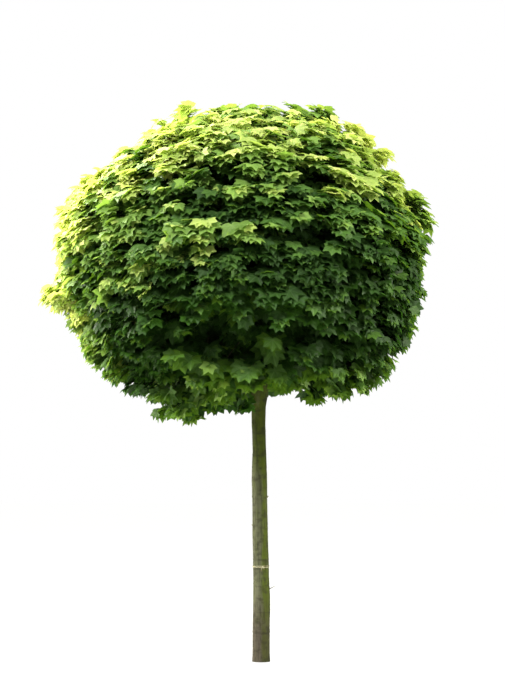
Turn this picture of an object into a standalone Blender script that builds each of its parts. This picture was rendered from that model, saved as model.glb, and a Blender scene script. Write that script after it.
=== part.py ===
"""Ball-headed maple, grafted at head height on one clear stem: trunk, boughs and masses of foliage.

Metres, +Z up. The origin is the middle of the flat cut under the trunk, at ground level.
The front of the tree looks along -Y. Azimuths are in degrees from the front, towards +X.
"""

import math
import random

import bmesh
import bpy
from mathutils import Matrix, Vector

# ---------------------------------------------------------------- driving sizes
GAP = 0.0004  # clear space between two limbs that meet
UP = Vector((0, 0, 1))

# The trunk's outline, from the ground cut to the rounded top of the graft knuckle:
# height, diameter, and how far its axis has wandered along X.
TRUNK_OUTLINE = (
    (0.00, 0.150, 0.000),
    (0.05, 0.144, 0.000),
    (0.53, 0.139, 0.004),
    (0.66, 0.131, 0.001),
    (1.00, 0.128, -0.007),
    (1.49, 0.128, -0.013),
    (1.72, 0.115, -0.014),
    (1.94, 0.111, -0.021),
    (2.10, 0.120, -0.020),
    (2.19, 0.156, -0.019),
    (2.29, 0.196, -0.018),
    (2.38, 0.190, -0.018),
    (2.44, 0.140, -0.018),
    (2.46, 0.070, -0.018),
)
TRUNK_SIDES = 16
KNUCKLE_X = -0.018
# Where the limbs of a ring spring from inside the graft knuckle: height, and distance from its axis.
SPRING = {"top": (2.40, 0.0), "upper": (2.39, 0.045), "middle": (2.27, 0.03)}

# The crown is a flattened globe, a little left of the trunk, boxier below than above.
CROWN_CENTRE = Vector((-0.165, 0.0, 3.31))
CROWN_HALF_WIDTH = 1.66
CROWN_RISE = 1.375
CROWN_DROP = 1.33
ROUND_ABOVE = 1.9  # exponents of the outline: 2 is an ellipse, more is squarer
ROUND_BELOW = 2.35
# Where the outline departs from that shape: azimuth, elevation, share in or out, degrees it spreads over.
# It is flat on the left shoulder, fuller on the right one and flatter round the trunk.
DEPARTURES = ((-90, 48, -0.070, 25), (90, 43, 0.022, 26), (0, -90, -0.050, 28))
DIP_BETWEEN = 0.035  # the outline dips by this share between two masses
DIP_ANGLE = math.radians(27)
SPRIG = (-90, -13)  # one shoot stands out of the crown in this direction: azimuth, elevation
SPRIG_OUT, SPRIG_ANGLE = 0.07, math.radians(10)

# The masses of foliage, in rings round the crown: how many, how far each ring's middle stands above
# or below the level of the crown's centre, and the azimuth of its first mass.
RINGS = {
    "top": (1, 90, 0),
    "upper": (5, 43, 12),
    "middle": (7, 5, -10),
    "lower": (7, -38, -36),
}
# How far the sprays under each lower mass sag below the outline: most at the front, left of the trunk.
SAG = {"lower": (0.15, 0.02, 0.06, 0.03, 0.08, 0.02, 0.05)}
SAG_FROM = -0.50  # sprays sag where their direction dips lower than this
SPACE_GAP = 0.006  # between the spaces of two masses
SEED_DEPTH = 0.78  # a mass's middle, as a share of the way out to the outline

# Limbs.
BOUGH_SIDES = 6
BOUGH_POINTS = 5
BOUGH_END = 0.62  # a bough's tip, as a share of the way out to the outline
BOUGH_RADII = {"top": (0.024, 0.014), "upper": (0.021, 0.012), "middle": (0.025, 0.013), "lower": (0.016, 0.010)}
FORK_SHARE = 0.34  # a lower bough leaves its middle bough this far along it
LIMB_CLEAR = 0.012  # leaves and twigs keep this far off a limb

# Foliage.
CORE_SINK = 0.26  # a core's outer side lies this deep under the outline
CORE_AHEAD = 0.06  # and its inner side this far ahead of the tip of its bough
CORE_CLEAR = 0.02  # from the edge of its space
CORE_ROUND = 0.10  # how much deeper it lies there
SPRAY_SPACING = 0.43  # the least distance between two sprays
SPRAY_PLACES = 900  # directions tried, evenly spread round the crown
# How a spray may be placed: the share by which it is drawn towards the middle of its mass, and the
# degrees that its leaves stand off the crown's surface. The first that is nearly full is used.
SPRAY_TRIES = ((0.04, 30), (0.06, 52), (0.16, 42), (0.28, 32))
NEARLY_FULL = 2.3  # the sum of its leaves' shares of full size
TWIG_RADII = (0.015, 0.009)
LEAF_LENGTH = 0.33
LEAF_THICK = 0.032  # share of the length, at the middle of the blade
LEAF_DOME = 0.06
LEAF_FAN = math.radians(74)  # between the end leaf of a spray and a side leaf
SIDE_BACK = 0.05  # the side leaves leave the twig this far before its end
LEAF_TRIES = (1.0, 0.85, 0.7, 0.6)
# Half of the leaf's outline, from the tip round: degrees from the midrib and share of the length.
LEAF_HALF = ((0, 0.96), (25, 0.50), (47, 0.84))
BLADE_MIDDLE = 0.36

SEED = 20
random.seed(SEED)


# ---------------------------------------------------------------- the crown's outline
def heading(azimuth, elevation):
    """The unit vector at these degrees round from the front and above the level."""
    turn, rise = math.radians(azimuth), math.radians(elevation)
    return Vector((math.sin(turn) * math.cos(rise), -math.cos(turn) * math.cos(rise), math.sin(rise)))


def globe_reach(direction):
    """How far the flattened globe and its one sprig go from the crown's centre in this direction."""
    level = math.hypot(direction.x, direction.y) / CROWN_HALF_WIDTH
    if direction.z > 0:
        upright, power = direction.z / CROWN_RISE, ROUND_ABOVE
    else:
        upright, power = -direction.z / CROWN_DROP, ROUND_BELOW
    sprig = max(0.0, 1 - direction.angle(heading(*SPRIG)) / SPRIG_ANGLE)
    reach = (level**power + upright**power) ** (-1 / power) * (1 + SPRIG_OUT * sprig)
    for azimuth, elevation, share, spread in DEPARTURES:
        off = math.degrees(direction.angle(heading(azimuth, elevation))) / spread
        reach *= 1 + share * math.exp(-(off**2))
    return reach


def surface_normal(direction):
    """The globe's outward normal in this direction, from two small steps along its surface."""
    side = direction.orthogonal().normalized()
    other = direction.cross(side)
    step = 0.02
    here = direction * globe_reach(direction)
    first = (direction + side * step).normalized()
    second = (direction + other * step).normalized()
    normal = (first * globe_reach(first) - here).cross(second * globe_reach(second) - here)
    return normal.normalized() if normal.dot(direction) > 0 else -normal.normalized()


class Mass:
    """One mass of foliage: its ring, its direction from the crown's centre and its middle point."""

    def __init__(self, ring, count, number, azimuth, elevation):
        self.ring = ring
        self.name = f"foliage_{ring}" + (f"_{number + 1}" if count > 1 else "")
        self.number = number
        self.azimuth = azimuth
        self.toward = heading(azimuth, elevation)
        self.middle = CROWN_CENTRE + self.toward * globe_reach(self.toward) * SEED_DEPTH
        self.sag = SAG.get(ring, (0.0,) * count)[number]

    def reach(self, direction):
        """The outline with this mass's own bulge: full at its middle, dipping towards its neighbours."""
        off = direction.angle(self.toward) / DIP_ANGLE
        return globe_reach(direction) * (1 - DIP_BETWEEN * min(1.0, off) ** 2)

    def sag_at(self, direction):
        """How far a spray in this direction hangs below the outline."""
        return UP * -self.sag * min(1.0, max(0.0, (SAG_FROM - direction.z) / 0.3))


MASSES = [
    Mass(ring, count, number, first + number * 360 / count, elevation)
    for ring, (count, elevation, first) in RINGS.items()
    for number in range(count)
]


def depth_in_space(point, mass):
    """How deep the point lies inside the mass's own space, away from its neighbours; negative outside."""
    least = 9.0
    for other in MASSES:
        if other is not mass:
            across = other.middle - mass.middle
            halfway = (other.middle + mass.middle) / 2
            least = min(least, (halfway - point).dot(across.normalized()))
    return least - SPACE_GAP / 2


# ---------------------------------------------------------------- limbs, as lines with a radius
def bend(start, pull, end, count):
    """Points along a smooth bend from start to end, drawn towards pull."""
    places = [i / (count - 1) for i in range(count)]
    return [start * (1 - t) ** 2 + pull * (2 * t * (1 - t)) + end * t**2 for t in places]


def taper(first, last, count):
    return [first + (last - first) * i / (count - 1) for i in range(count)]


TRUNK_POINTS = [Vector((lean, 0, height)) for height, _, lean in TRUNK_OUTLINE]
TRUNK_RADII = [diameter / 2 for _, diameter, _ in TRUNK_OUTLINE]


def bough_line(mass):
    """The points and radii of the bough that carries this mass, from inside what it springs from."""
    first, last = BOUGH_RADII[mass.ring]
    end = CROWN_CENTRE + mass.toward * mass.reach(mass.toward) * BOUGH_END
    level = Vector((mass.toward.x, mass.toward.y, 0))
    if mass.ring == "lower":
        line = bough_line(nearest_middle(mass))[0]
        along = FORK_SHARE * (BOUGH_POINTS - 1)
        whole = int(along)
        start = line[whole].lerp(line[whole + 1], along - whole)
    else:
        height, off_axis = SPRING[mass.ring]
        start = Vector((KNUCKLE_X, 0, height)) + level * off_axis
    straight = end - start
    pull = start + straight * 0.45 + (level * 0.12 if mass.ring != "lower" else UP * 0.10)
    return bend(start, pull, end, BOUGH_POINTS), taper(first, last, BOUGH_POINTS)


def nearest_middle(mass):
    """The middle mass whose azimuth is nearest: its bough carries this lower one."""
    middles = [other for other in MASSES if other.ring == "middle"]
    return min(middles, key=lambda other: level_angle(other, mass))


def level_angle(one, other):
    return abs((one.azimuth - other.azimuth + 180) % 360 - 180)


LIMBS = {"trunk": (TRUNK_POINTS, TRUNK_RADII)}
LIMBS.update({mass.name.replace("foliage", "bough"): bough_line(mass) for mass in MASSES})


def off_limbs(point):
    """How far the point is from the nearest limb's bark; negative inside one."""
    least = 9.0
    for points, radii in LIMBS.values():
        for a, b, ra, rb in zip(points, points[1:], radii, radii[1:]):
            axis = b - a
            share = min(1.0, max(0.0, (point - a).dot(axis) / axis.length_squared))
            least = min(least, (point - a - axis * share).length - (ra + (rb - ra) * share))
    return least


# ---------------------------------------------------------------- Blender helpers
def fresh_collection(name, shown=True):
    collection = bpy.data.collections.new(name)
    bpy.context.scene.collection.children.link(collection)
    collection.hide_render = not shown
    return collection


def plain_material(name, colour, roughness):
    material = bpy.data.materials.new(name)
    material.use_nodes = True
    shader = material.node_tree.nodes["Principled BSDF"]
    shader.inputs["Base Color"].default_value = (*colour, 1)
    shader.inputs["Roughness"].default_value = roughness
    shader.inputs["Metallic"].default_value = 0.0
    return material


def limb_curve(name, points, radii, sides, collection):
    """A limb as a curve: a straight-run spline with its own radius at each point."""
    curve = bpy.data.curves.new(name, "CURVE")
    curve.dimensions = "3D"
    curve.bevel_depth = 1.0
    curve.bevel_resolution = sides // 2 - 2
    curve.use_fill_caps = True
    spline = curve.splines.new("POLY")
    spline.points.add(len(points) - 1)
    for spot, point, radius in zip(spline.points, points, radii):
        spot.co = (*point, 1)
        spot.radius = radius
    limb = bpy.data.objects.new(name, curve)
    collection.objects.link(limb)
    return limb


def as_mesh(limb, collection):
    """Turns a curve object into a closed mesh object of the same name and place."""
    bpy.context.view_layer.update()
    graph = bpy.context.evaluated_depsgraph_get()
    mesh = bpy.data.meshes.new_from_object(limb.evaluated_get(graph))
    shell = bmesh.new()
    shell.from_mesh(mesh)
    bmesh.ops.remove_doubles(shell, verts=shell.verts, dist=1e-6)
    shell.to_mesh(mesh)
    shell.free()
    name, place = limb.name, limb.matrix_world.copy()
    curve = limb.data
    bpy.data.objects.remove(limb)
    bpy.data.curves.remove(curve)
    solid = bpy.data.objects.new(name, mesh)
    solid.matrix_world = place
    collection.objects.link(solid)
    return solid


def smooth(solid):
    solid.data.shade_smooth()
    solid.data.set_sharp_from_angle(angle=math.radians(50))


def aim(origin, along, up_hint, size):
    """A matrix that puts X along a direction, Z as near the hint as can be, scaled by size."""
    x = along.normalized()
    y = up_hint.cross(x).normalized()
    z = x.cross(y)
    turn = Matrix((x, y, z)).transposed().to_4x4()
    return Matrix.Translation(origin) @ turn @ Matrix.Diagonal((*size, 1))


# ---------------------------------------------------------------- trunk and boughs
def make_trunk(collection, cutters, bark):
    trunk = limb_curve("trunk", TRUNK_POINTS, TRUNK_RADII, TRUNK_SIDES, collection)
    trunk.data.materials.append(bark)
    trunk = as_mesh(trunk, collection)
    smooth(trunk)
    wider = [radius + GAP for radius in TRUNK_RADII]
    taller = [*TRUNK_POINTS[:-1], TRUNK_POINTS[-1] + UP * GAP]
    cutter = as_mesh(limb_curve("trunk_cutter", taller, wider, TRUNK_SIDES, cutters), cutters)
    cutter.display_type = "WIRE"
    cutter.hide_render = True
    return cutter


def make_bough(mass, collection, cutters, trunk_cutter, bark):
    """One tapering limb, its foot cut clear of the trunk's knuckle or of the bough that it leaves."""
    name = mass.name.replace("foliage", "bough")
    points, radii = LIMBS[name]
    bough = limb_curve(name, points, radii, BOUGH_SIDES, collection)
    bough.data.materials.append(bark)
    bough = as_mesh(bough, collection)
    smooth(bough)
    cutter = trunk_cutter
    if mass.ring == "lower":
        carrier = nearest_middle(mass).name.replace("foliage", "bough")
        line, thickness = LIMBS[carrier]
        wider = [radius + GAP for radius in thickness]
        cutter = as_mesh(limb_curve(f"{name}_cutter", line, wider, BOUGH_SIDES, cutters), cutters)
        cutter.display_type = "WIRE"
        cutter.hide_render = True
    clear = bough.modifiers.new("clear of its carrier", "BOOLEAN")
    clear.operation = "DIFFERENCE"
    clear.solver = "EXACT"
    clear.object = cutter
    return bough


# ---------------------------------------------------------------- foliage
def leaf_shape():
    """A lobed maple leaf along X, its stalk's foot at the origin: thin, sharp-edged and slightly domed."""
    outline = [Vector((r * math.cos(math.radians(a)), r * math.sin(math.radians(a)), 0)) for a, r in LEAF_HALF]
    foot = Vector((0, 0, 0))
    other_half = [Vector((p.x, -p.y, 0)) for p in outline[:0:-1]]
    rim = [*outline, foot, *other_half]
    blade = bmesh.new()
    bmesh.ops.create_uvsphere(blade, u_segments=len(rim), v_segments=2, radius=1)
    middle = Vector((BLADE_MIDDLE, 0, 0))
    for vertex in blade.verts:
        if abs(vertex.co.z) > 0.5:
            vertex.co = middle + UP * (LEAF_DOME + math.copysign(LEAF_THICK / 2, vertex.co.z))
        else:
            corner = round(math.atan2(vertex.co.y, vertex.co.x) / (2 * math.pi / len(rim))) % len(rim)
            vertex.co = rim[corner]
    bmesh.ops.recalc_face_normals(blade, faces=blade.faces)
    mesh = bpy.data.meshes.new("maple_leaf")
    blade.to_mesh(mesh)
    blade.free()
    return mesh


def twig_shape(name, sides, end_share):
    """A tapering twig of unit length along X and unit radius at its thick end."""
    stick = bmesh.new()
    bmesh.ops.create_cone(
        stick, cap_ends=True, cap_tris=False, segments=sides, radius1=1, radius2=end_share, depth=1
    )
    lay_along_x = Matrix.Rotation(math.pi / 2, 4, "Y") @ Matrix.Translation((0, 0, 0.5))
    bmesh.ops.transform(stick, matrix=lay_along_x, verts=stick.verts)
    mesh = bpy.data.meshes.new(name)
    stick.to_mesh(mesh)
    stick.free()
    return mesh


def fits(points, mass):
    """True if these points keep to the mass's space, inside the outline and off every limb."""
    for point in points:
        out = point - CROWN_CENTRE
        out -= mass.sag_at(out.normalized())
        if out.length > mass.reach(out.normalized()) * 1.01 or depth_in_space(point, mass) < 0:
            return False
        if off_limbs(point) < LIMB_CLEAR:
            return False
    return True


def slice_off(solid, place, outward):
    """Cuts a closed convex solid with a plane, drops the outward side and closes the cut."""
    everything = [*solid.verts, *solid.edges, *solid.faces]
    cut = bmesh.ops.bisect_plane(
        solid, geom=everything, plane_co=place, plane_no=outward, clear_outer=True
    )
    rim = [piece for piece in cut["geom_cut"] if isinstance(piece, bmesh.types.BMEdge)]
    if rim:
        bmesh.ops.edgeloop_fill(solid, edges=rim)


def make_core(mass, bough_tip, collection):
    """The dense inside of a mass: a sunken copy of the crown, sliced off at the edges of its space."""
    core = bmesh.new()
    bmesh.ops.create_icosphere(core, subdivisions=3, radius=1)
    for vertex in core.verts:
        direction = vertex.co.normalized()
        off = min(1.0, direction.angle(mass.toward) / DIP_ANGLE)
        vertex.co = CROWN_CENTRE + direction * (mass.reach(direction) - CORE_SINK - CORE_ROUND * off**2)
    slice_off(core, bough_tip + mass.toward * CORE_AHEAD, -mass.toward)
    for other in MASSES:
        if other is not mass:
            outward = (other.middle - mass.middle).normalized()
            slice_off(core, (other.middle + mass.middle) / 2 - outward * CORE_CLEAR, outward)
    bmesh.ops.triangulate(core, faces=core.faces)
    bmesh.ops.recalc_face_normals(core, faces=core.faces)
    corners = [vertex.co for vertex in core.verts]
    centre = sum(corners, Vector()) / len(corners)
    mesh = bpy.data.meshes.new(mass.name)
    core.to_mesh(mesh)
    core.free()
    solid = bpy.data.objects.new(mass.name, mesh)
    collection.objects.link(solid)
    return solid, centre


def spray_directions():
    """Directions for the sprays: a spiral round the whole crown, thinned to an even distance apart."""
    golden = math.pi * (3 - math.sqrt(5))
    found = [heading(*SPRIG)]
    places = [found[0] * globe_reach(found[0])]
    for i in range(SPRAY_PLACES):
        rise = 1 - (2 * i + 1) / SPRAY_PLACES
        level = math.sqrt(1 - rise * rise)
        direction = Vector((level * math.cos(golden * i), level * math.sin(golden * i), rise))
        place = direction * globe_reach(direction)
        if all((place - other).length > SPRAY_SPACING for other in places):
            places.append(place)
            found.append(direction)
    return found


def own_sprays(mass, directions):
    """The directions that fall in this mass's space."""
    return [
        direction
        for direction in directions
        if depth_in_space(CROWN_CENTRE + direction * globe_reach(direction) * 0.9, mass) > 0
    ]


def spray_leaves(mass, direction, stand):
    """Where a spray's twig ends, and how its leaves fan out downhill: one at the end, a pair behind it."""
    normal = surface_normal(direction)
    fall = Vector((direction.x, direction.y, -0.6))  # outwards on top, downwards at the sides
    downhill = (fall - normal * normal.dot(fall)).normalized()
    across = normal.cross(downhill)
    ahead = downhill * math.cos(stand) + normal * math.sin(stand)
    middle = CROWN_CENTRE + direction * mass.reach(direction) + mass.sag_at(direction)
    root = middle - (normal * math.sin(stand) + ahead) * LEAF_LENGTH / 2
    blades = []
    for turn, back in ((0, 0), (LEAF_FAN, SIDE_BACK), (-LEAF_FAN, SIDE_BACK * 1.2)):
        wander = turn + random.uniform(-0.12, 0.12)
        level = downhill * math.cos(wander) + across * math.sin(wander)
        lift = stand - back + random.uniform(-0.06, 0.06)
        along = level * math.cos(lift) + normal * math.sin(lift)
        blades.append((along, normal + UP * 0.2, LEAF_LENGTH * random.uniform(0.9, 1.04), back))
    return root, blades


def leaf_points(place, leaf):
    """The leaf's corners and the middles of the lines between them, in the tree's frame."""
    corners = [place @ vertex.co for vertex in leaf.vertices]
    return corners + [place @ ((leaf.vertices[a].co + leaf.vertices[b].co) / 2) for a, b in leaf.edge_keys]


def best_spray(mass, direction, centre, leaf):
    """Tries the spray where it is and nearer the mass's middle, and keeps the fullest: [twig, *leaves]."""
    best, fullness = [], 0.0
    for pull, stand in SPRAY_TRIES:
        nearer = direction.lerp(mass.toward, pull).normalized()
        root, blades = spray_leaves(mass, nearer, math.radians(stand))
        start = centre.lerp(root, 0.30)
        run = (root - start).normalized()
        if not fits([start.lerp(root, step / 12) for step in range(13)], mass):
            continue
        spray, full = [], 0.0
        for along, face, length, back in blades:
            for share in LEAF_TRIES:
                size = length * share
                place = aim(root - run * back - along * 0.003, along, face, (size, size, size))
                if fits(leaf_points(place, leaf), mass):
                    spray.append(place)
                    full += share
                    break
        if spray and full > fullness:
            reach = (root - start).length + 0.012
            place = aim(start, run, run.orthogonal(), (reach, TWIG_RADII[0], TWIG_RADII[0]))
            best, fullness = [place, *spray], full
        if fullness > NEARLY_FULL:
            break
    return best


def make_foliage(mass, directions, collection, leaf, twig, stem, green):
    """Core, stem, twigs and leaves of one mass, joined into one solid. Returns how many leaves it has."""
    points, radii = LIMBS[mass.name.replace("foliage", "bough")]
    end, ahead = points[-1], (points[-1] - points[-2]).normalized()
    core, centre = make_core(mass, end, collection)
    core.data.materials.append(green)
    loose = fresh_collection(f"{mass.name}_pieces")

    def add(shape, place):
        piece = bpy.data.objects.new(shape.name, shape)
        piece.matrix_world = place
        loose.objects.link(piece)

    add(stem, aim(end + ahead * GAP, ahead, ahead.orthogonal(), (CORE_AHEAD * 2, radii[-1], radii[-1])))
    leaves = 0
    for direction in own_sprays(mass, directions):
        spray = best_spray(mass, direction, centre, leaf)
        if spray:
            add(twig, spray[0])
        for place in spray[1:]:
            add(leaf, place)
        leaves += len(spray[1:])
    join(core, loose)
    return leaves


def join(core, loose):
    """Unites the core with the loose pieces round it, then drops scraps and fills sealed hollows."""
    union = core.modifiers.new("one solid", "BOOLEAN")
    union.operation = "UNION"
    union.solver = "EXACT"
    union.operand_type = "COLLECTION"
    union.collection = loose
    bpy.context.view_layer.update()
    graph = bpy.context.evaluated_depsgraph_get()
    mesh = bpy.data.meshes.new_from_object(core.evaluated_get(graph))
    core.modifiers.clear()
    old = core.data
    core.data = mesh
    bpy.data.meshes.remove(old)
    mesh.name = core.name
    for piece in list(loose.objects):
        bpy.data.objects.remove(piece)
    bpy.data.collections.remove(loose)
    keep_largest(mesh)


def keep_largest(mesh):
    """Leaves only the connected shell with the most faces: the rest are scraps and inner hollows."""
    shell = bmesh.new()
    shell.from_mesh(mesh)
    unseen = set(shell.verts)
    islands = []
    while unseen:
        island, edge = set(), [unseen.pop()]
        while edge:
            vertex = edge.pop()
            island.add(vertex)
            for link in vertex.link_edges:
                other = link.other_vert(vertex)
                if other in unseen:
                    unseen.remove(other)
                    edge.append(other)
        islands.append(island)
    islands.sort(key=len)
    for island in islands[:-1]:
        bmesh.ops.delete(shell, geom=list(island), context="VERTS")
    bmesh.ops.triangulate(shell, faces=shell.faces)
    shell.to_mesh(mesh)
    shell.free()


# ---------------------------------------------------------------- the tree
def clear_scene():
    for existing in list(bpy.data.objects):
        bpy.data.objects.remove(existing, do_unlink=True)


def main():
    clear_scene()
    tree = fresh_collection("ball_headed_maple")
    cutters = fresh_collection("cutters", shown=False)
    bark = plain_material("bark", (0.16, 0.16, 0.09), 0.85)
    green = plain_material("foliage", (0.06, 0.13, 0.03), 0.55)
    trunk_cutter = make_trunk(tree, cutters, bark)
    leaf = leaf_shape()
    twig = twig_shape("twig", 3, TWIG_RADII[1] / TWIG_RADII[0])
    stem = twig_shape("stem", BOUGH_SIDES, 0.9)
    directions = spray_directions()
    leaves = 0
    for mass in MASSES:
        make_bough(mass, tree, cutters, trunk_cutter, bark)
        leaves += make_foliage(mass, directions, tree, leaf, twig, stem, green)
    print(f"{len(MASSES)} masses of foliage with {leaves} leaves")


main()
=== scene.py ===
# %% [markdown]
# # A ball-headed maple, from bark to leaf tip
# The real tree is a globe-headed maple: a bushy head grafted at head height on one clear stem.
# Its head is a dense flattened globe of hand-shaped leaves that lie over each other like roof tiles.
#
# This lesson dresses a plain solid model of that tree. The solids say where every limb and mass of
# leaves is, and each one is replaced here by something finer that keeps to the same place.
# Everything is in metres, Z points up, and the origin is the middle of the trunk's foot.

import math

import bpy
import numpy as np
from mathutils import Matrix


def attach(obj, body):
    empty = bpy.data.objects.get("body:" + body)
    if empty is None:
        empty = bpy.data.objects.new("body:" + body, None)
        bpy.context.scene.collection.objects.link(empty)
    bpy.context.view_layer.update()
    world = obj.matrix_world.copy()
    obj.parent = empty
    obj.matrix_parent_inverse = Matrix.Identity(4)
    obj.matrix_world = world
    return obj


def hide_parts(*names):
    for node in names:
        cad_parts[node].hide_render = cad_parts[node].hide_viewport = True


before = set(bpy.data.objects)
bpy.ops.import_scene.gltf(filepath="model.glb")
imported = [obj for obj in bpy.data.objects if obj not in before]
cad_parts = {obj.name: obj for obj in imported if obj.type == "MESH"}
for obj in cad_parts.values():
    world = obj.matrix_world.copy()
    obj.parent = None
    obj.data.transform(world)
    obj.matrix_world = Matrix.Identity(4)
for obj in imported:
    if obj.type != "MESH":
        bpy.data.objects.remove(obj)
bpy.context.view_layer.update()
bpy.ops.object.select_all(action="DESELECT")
SEED = 7
rng = np.random.default_rng(SEED)

# %% [markdown]
# ## The rule that the tree grows by
# The leaves end on one smooth outline, a flattened globe that is boxier below than above.
# Twenty masses of foliage share it, in rings: one on top, five above, seven round the middle, seven below.
# Each has its own bough. The outline could be a mesh that every leaf is tested against, but a rule written
# as small functions of direction is quicker, and limbs, twigs and leaves can all ask it how far they may go.
#
# Directions are rows of an array here, because numpy then answers for thousands of leaves at once.

# %% Directions
UP = np.array([0.0, 0.0, 1.0])
TINY = 1e-9  # a row of length nought stays nought, instead of being divided by it


def heading(azimuth, elevation):
    """The unit vector at these degrees round from the front and above the level."""
    turn, rise = math.radians(azimuth), math.radians(elevation)
    return np.array([math.sin(turn) * math.cos(rise), -math.cos(turn) * math.cos(rise), math.sin(rise)])


def unit(rows):
    """Each row scaled to length 1."""
    return rows / np.maximum(np.linalg.norm(rows, axis=-1, keepdims=True), TINY)


def angle_to(rows, one):
    """The angle in radians between each row and one direction."""
    return np.arccos(np.clip(rows @ one, -1, 1))


def near(rows, azimuth, elevation, across):
    """1 for rows in this direction, falling softly to 0 over this many degrees."""
    return np.exp(-((np.degrees(angle_to(rows, heading(azimuth, elevation))) / across) ** 2))


print("Left, in front and up are", heading(-90, 0).round(), heading(0, 0).round(), "and", UP)

# %% The outline of the head
HEAD_CENTRE = np.array([-0.165, 0.0, 3.31])
HEAD_HALF_WIDTH, HEAD_RISE, HEAD_DROP = 1.66, 1.375, 1.33
ROUND_ABOVE, ROUND_BELOW = 1.9, 2.35
# Azimuth, elevation, share in or out, degrees it spreads over: flat on the left shoulder, fuller on the
# right one and flatter round the trunk.
DEPARTURES = ((-90, 48, -0.070, 25), (90, 43, 0.022, 26), (0, -90, -0.050, 28))
# One shoot stands out on the left: azimuth and elevation, by what share, and how wide it is.
SPRIG = (-90, -13)
SPRIG_OUT, SPRIG_ANGLE = 0.07, math.radians(10)


def head_reach(directions):
    """How far the head's outline is from its centre in each direction."""
    level = np.hypot(directions[:, 0], directions[:, 1]) / HEAD_HALF_WIDTH
    above = directions[:, 2] > 0
    upright = np.abs(directions[:, 2]) / np.where(above, HEAD_RISE, HEAD_DROP)
    power = np.where(above, ROUND_ABOVE, ROUND_BELOW)
    sprig = np.maximum(0, 1 - angle_to(directions, heading(*SPRIG)) / SPRIG_ANGLE)
    reach = (level**power + upright**power) ** (-1 / power) * (1 + SPRIG_OUT * sprig)
    for azimuth, elevation, share, spread in DEPARTURES:
        reach = reach * (1 + share * near(directions, azimuth, elevation, spread))
    return reach


probe = np.array([heading(-90, 0), heading(90, 0), UP, -UP])
print("The outline's reach to the left, right, top and bottom:", np.round(head_reach(probe), 2))

# %% The outline's normal
OUTLINE_STEP = 0.02
NEAR_POLE = 0.9  # directions steeper than this have no sideways that up can give


def outward(directions):
    """The outline's normal in each direction, from two small steps along it."""
    side = unit(np.cross(directions, np.where(np.abs(directions[:, 2:]) < NEAR_POLE, UP, [1.0, 0.0, 0.0])))
    other = np.cross(directions, side)
    here = directions * head_reach(directions)[:, None]
    nearby = [unit(directions + way * OUTLINE_STEP) for way in (side, other)]
    steps = [there * head_reach(there)[:, None] - here for there in nearby]
    normal = unit(np.cross(*steps))
    return normal * np.sign(np.sum(normal * directions, axis=1))[:, None]


print("The normal on the front, halfway up:", np.round(outward(heading(0, 45)[None])[0], 2))

# %% The twenty masses and how they share the outline
# Each ring's number of masses, their elevation and the azimuth of the first one.
RINGS = {"top": (1, 90, 0), "upper": (5, 43, 12), "middle": (7, 5, -10), "lower": (7, -38, -36)}
SAG = {"lower": (0.15, 0.02, 0.06, 0.03, 0.08, 0.02, 0.05)}  # how far each one's underside hangs down
SAG_FROM, SAG_OVER = -0.50, 0.3  # the height of a direction where it starts to, and where it is in full
DIP_BETWEEN, DIP_ANGLE = 0.035, math.radians(27)  # the outline dips this much between two masses
SEED_DEPTH = 0.78  # how far out the middle of a mass is, as a share of the way to the outline
OWNER_DEPTH = 0.9  # and how far out the place is that decides which mass a direction belongs to

masses = []
for ring, (count, elevation, first) in RINGS.items():
    for i in range(count):
        azimuth = first + i * 360 / count
        masses.append(
            {
                "ring": ring,
                "name": ring if count == 1 else f"{ring}_{i + 1}",
                "azimuth": azimuth,
                "toward": heading(azimuth, elevation),
                "sag": SAG.get(ring, (0.0,) * count)[i],
            }
        )
TOWARD = np.array([mass["toward"] for mass in masses])
MIDDLES = HEAD_CENTRE + TOWARD * head_reach(TOWARD)[:, None] * SEED_DEPTH
SAGS = np.array([mass["sag"] for mass in masses])
RING_OF = np.array([mass["ring"] for mass in masses])


def mass_of(directions):
    """Which mass each direction belongs to: the one whose middle is nearest."""
    spots = HEAD_CENTRE + directions * (head_reach(directions) * OWNER_DEPTH)[:, None]
    return np.argmin(np.linalg.norm(spots[:, None] - MIDDLES[None], axis=2), axis=1)


def reach(directions, owner):
    """The outline with each mass's bulge: full at its middle, dipping towards its neighbours."""
    off = np.arccos(np.clip(np.sum(directions * TOWARD[owner], axis=1), -1, 1)) / DIP_ANGLE
    return head_reach(directions) * (1 - DIP_BETWEEN * np.minimum(1, off) ** 2)


def sag_at(directions, owner):
    """How far the leaves under each lower mass hang below the outline."""
    share = np.clip((SAG_FROM - directions[:, 2]) / SAG_OVER, 0, 1)
    return -UP * (SAGS[owner] * share)[:, None]


print(len(masses), "masses:", ", ".join(mass["name"] for mass in masses))

# %% [markdown]
# ## Camera, floor and light
# The tree is looked at from fourteen metres off, at eye height, so the camera looks slightly up.
# The pale floor is one wide disc. A single sun lamp could light it all, but its shadows are hard. Broad
# round lamps and a soft sky let the light creep in between the leaves. The strongest stands high on the
# left and a little behind, so the top and the left of the head are bright. One more is on the left, one
# high in front and two on the right, and the side towards us lies in soft shade.

# %% Camera
CAMERA_PLACE = (0.0, -14.0, 1.6)
LOOK_AT = (-0.071, 0.0, 2.567)
LENS = 86.9

camera_data = bpy.data.cameras.new("camera")
camera_data.lens = LENS
camera = bpy.data.objects.new("camera", camera_data)
bpy.context.scene.collection.objects.link(camera)
camera.location = CAMERA_PLACE
gaze = np.array(LOOK_AT) - np.array(CAMERA_PLACE)
level_gaze = math.hypot(gaze[0], gaze[1])
camera.rotation_euler = (math.pi / 2 + math.atan2(gaze[2], level_gaze), 0, math.atan2(-gaze[0], gaze[1]))
bpy.context.scene.camera = camera
print("The camera looks up by", round(math.degrees(math.atan2(gaze[2], level_gaze)), 1), "degrees")

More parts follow.
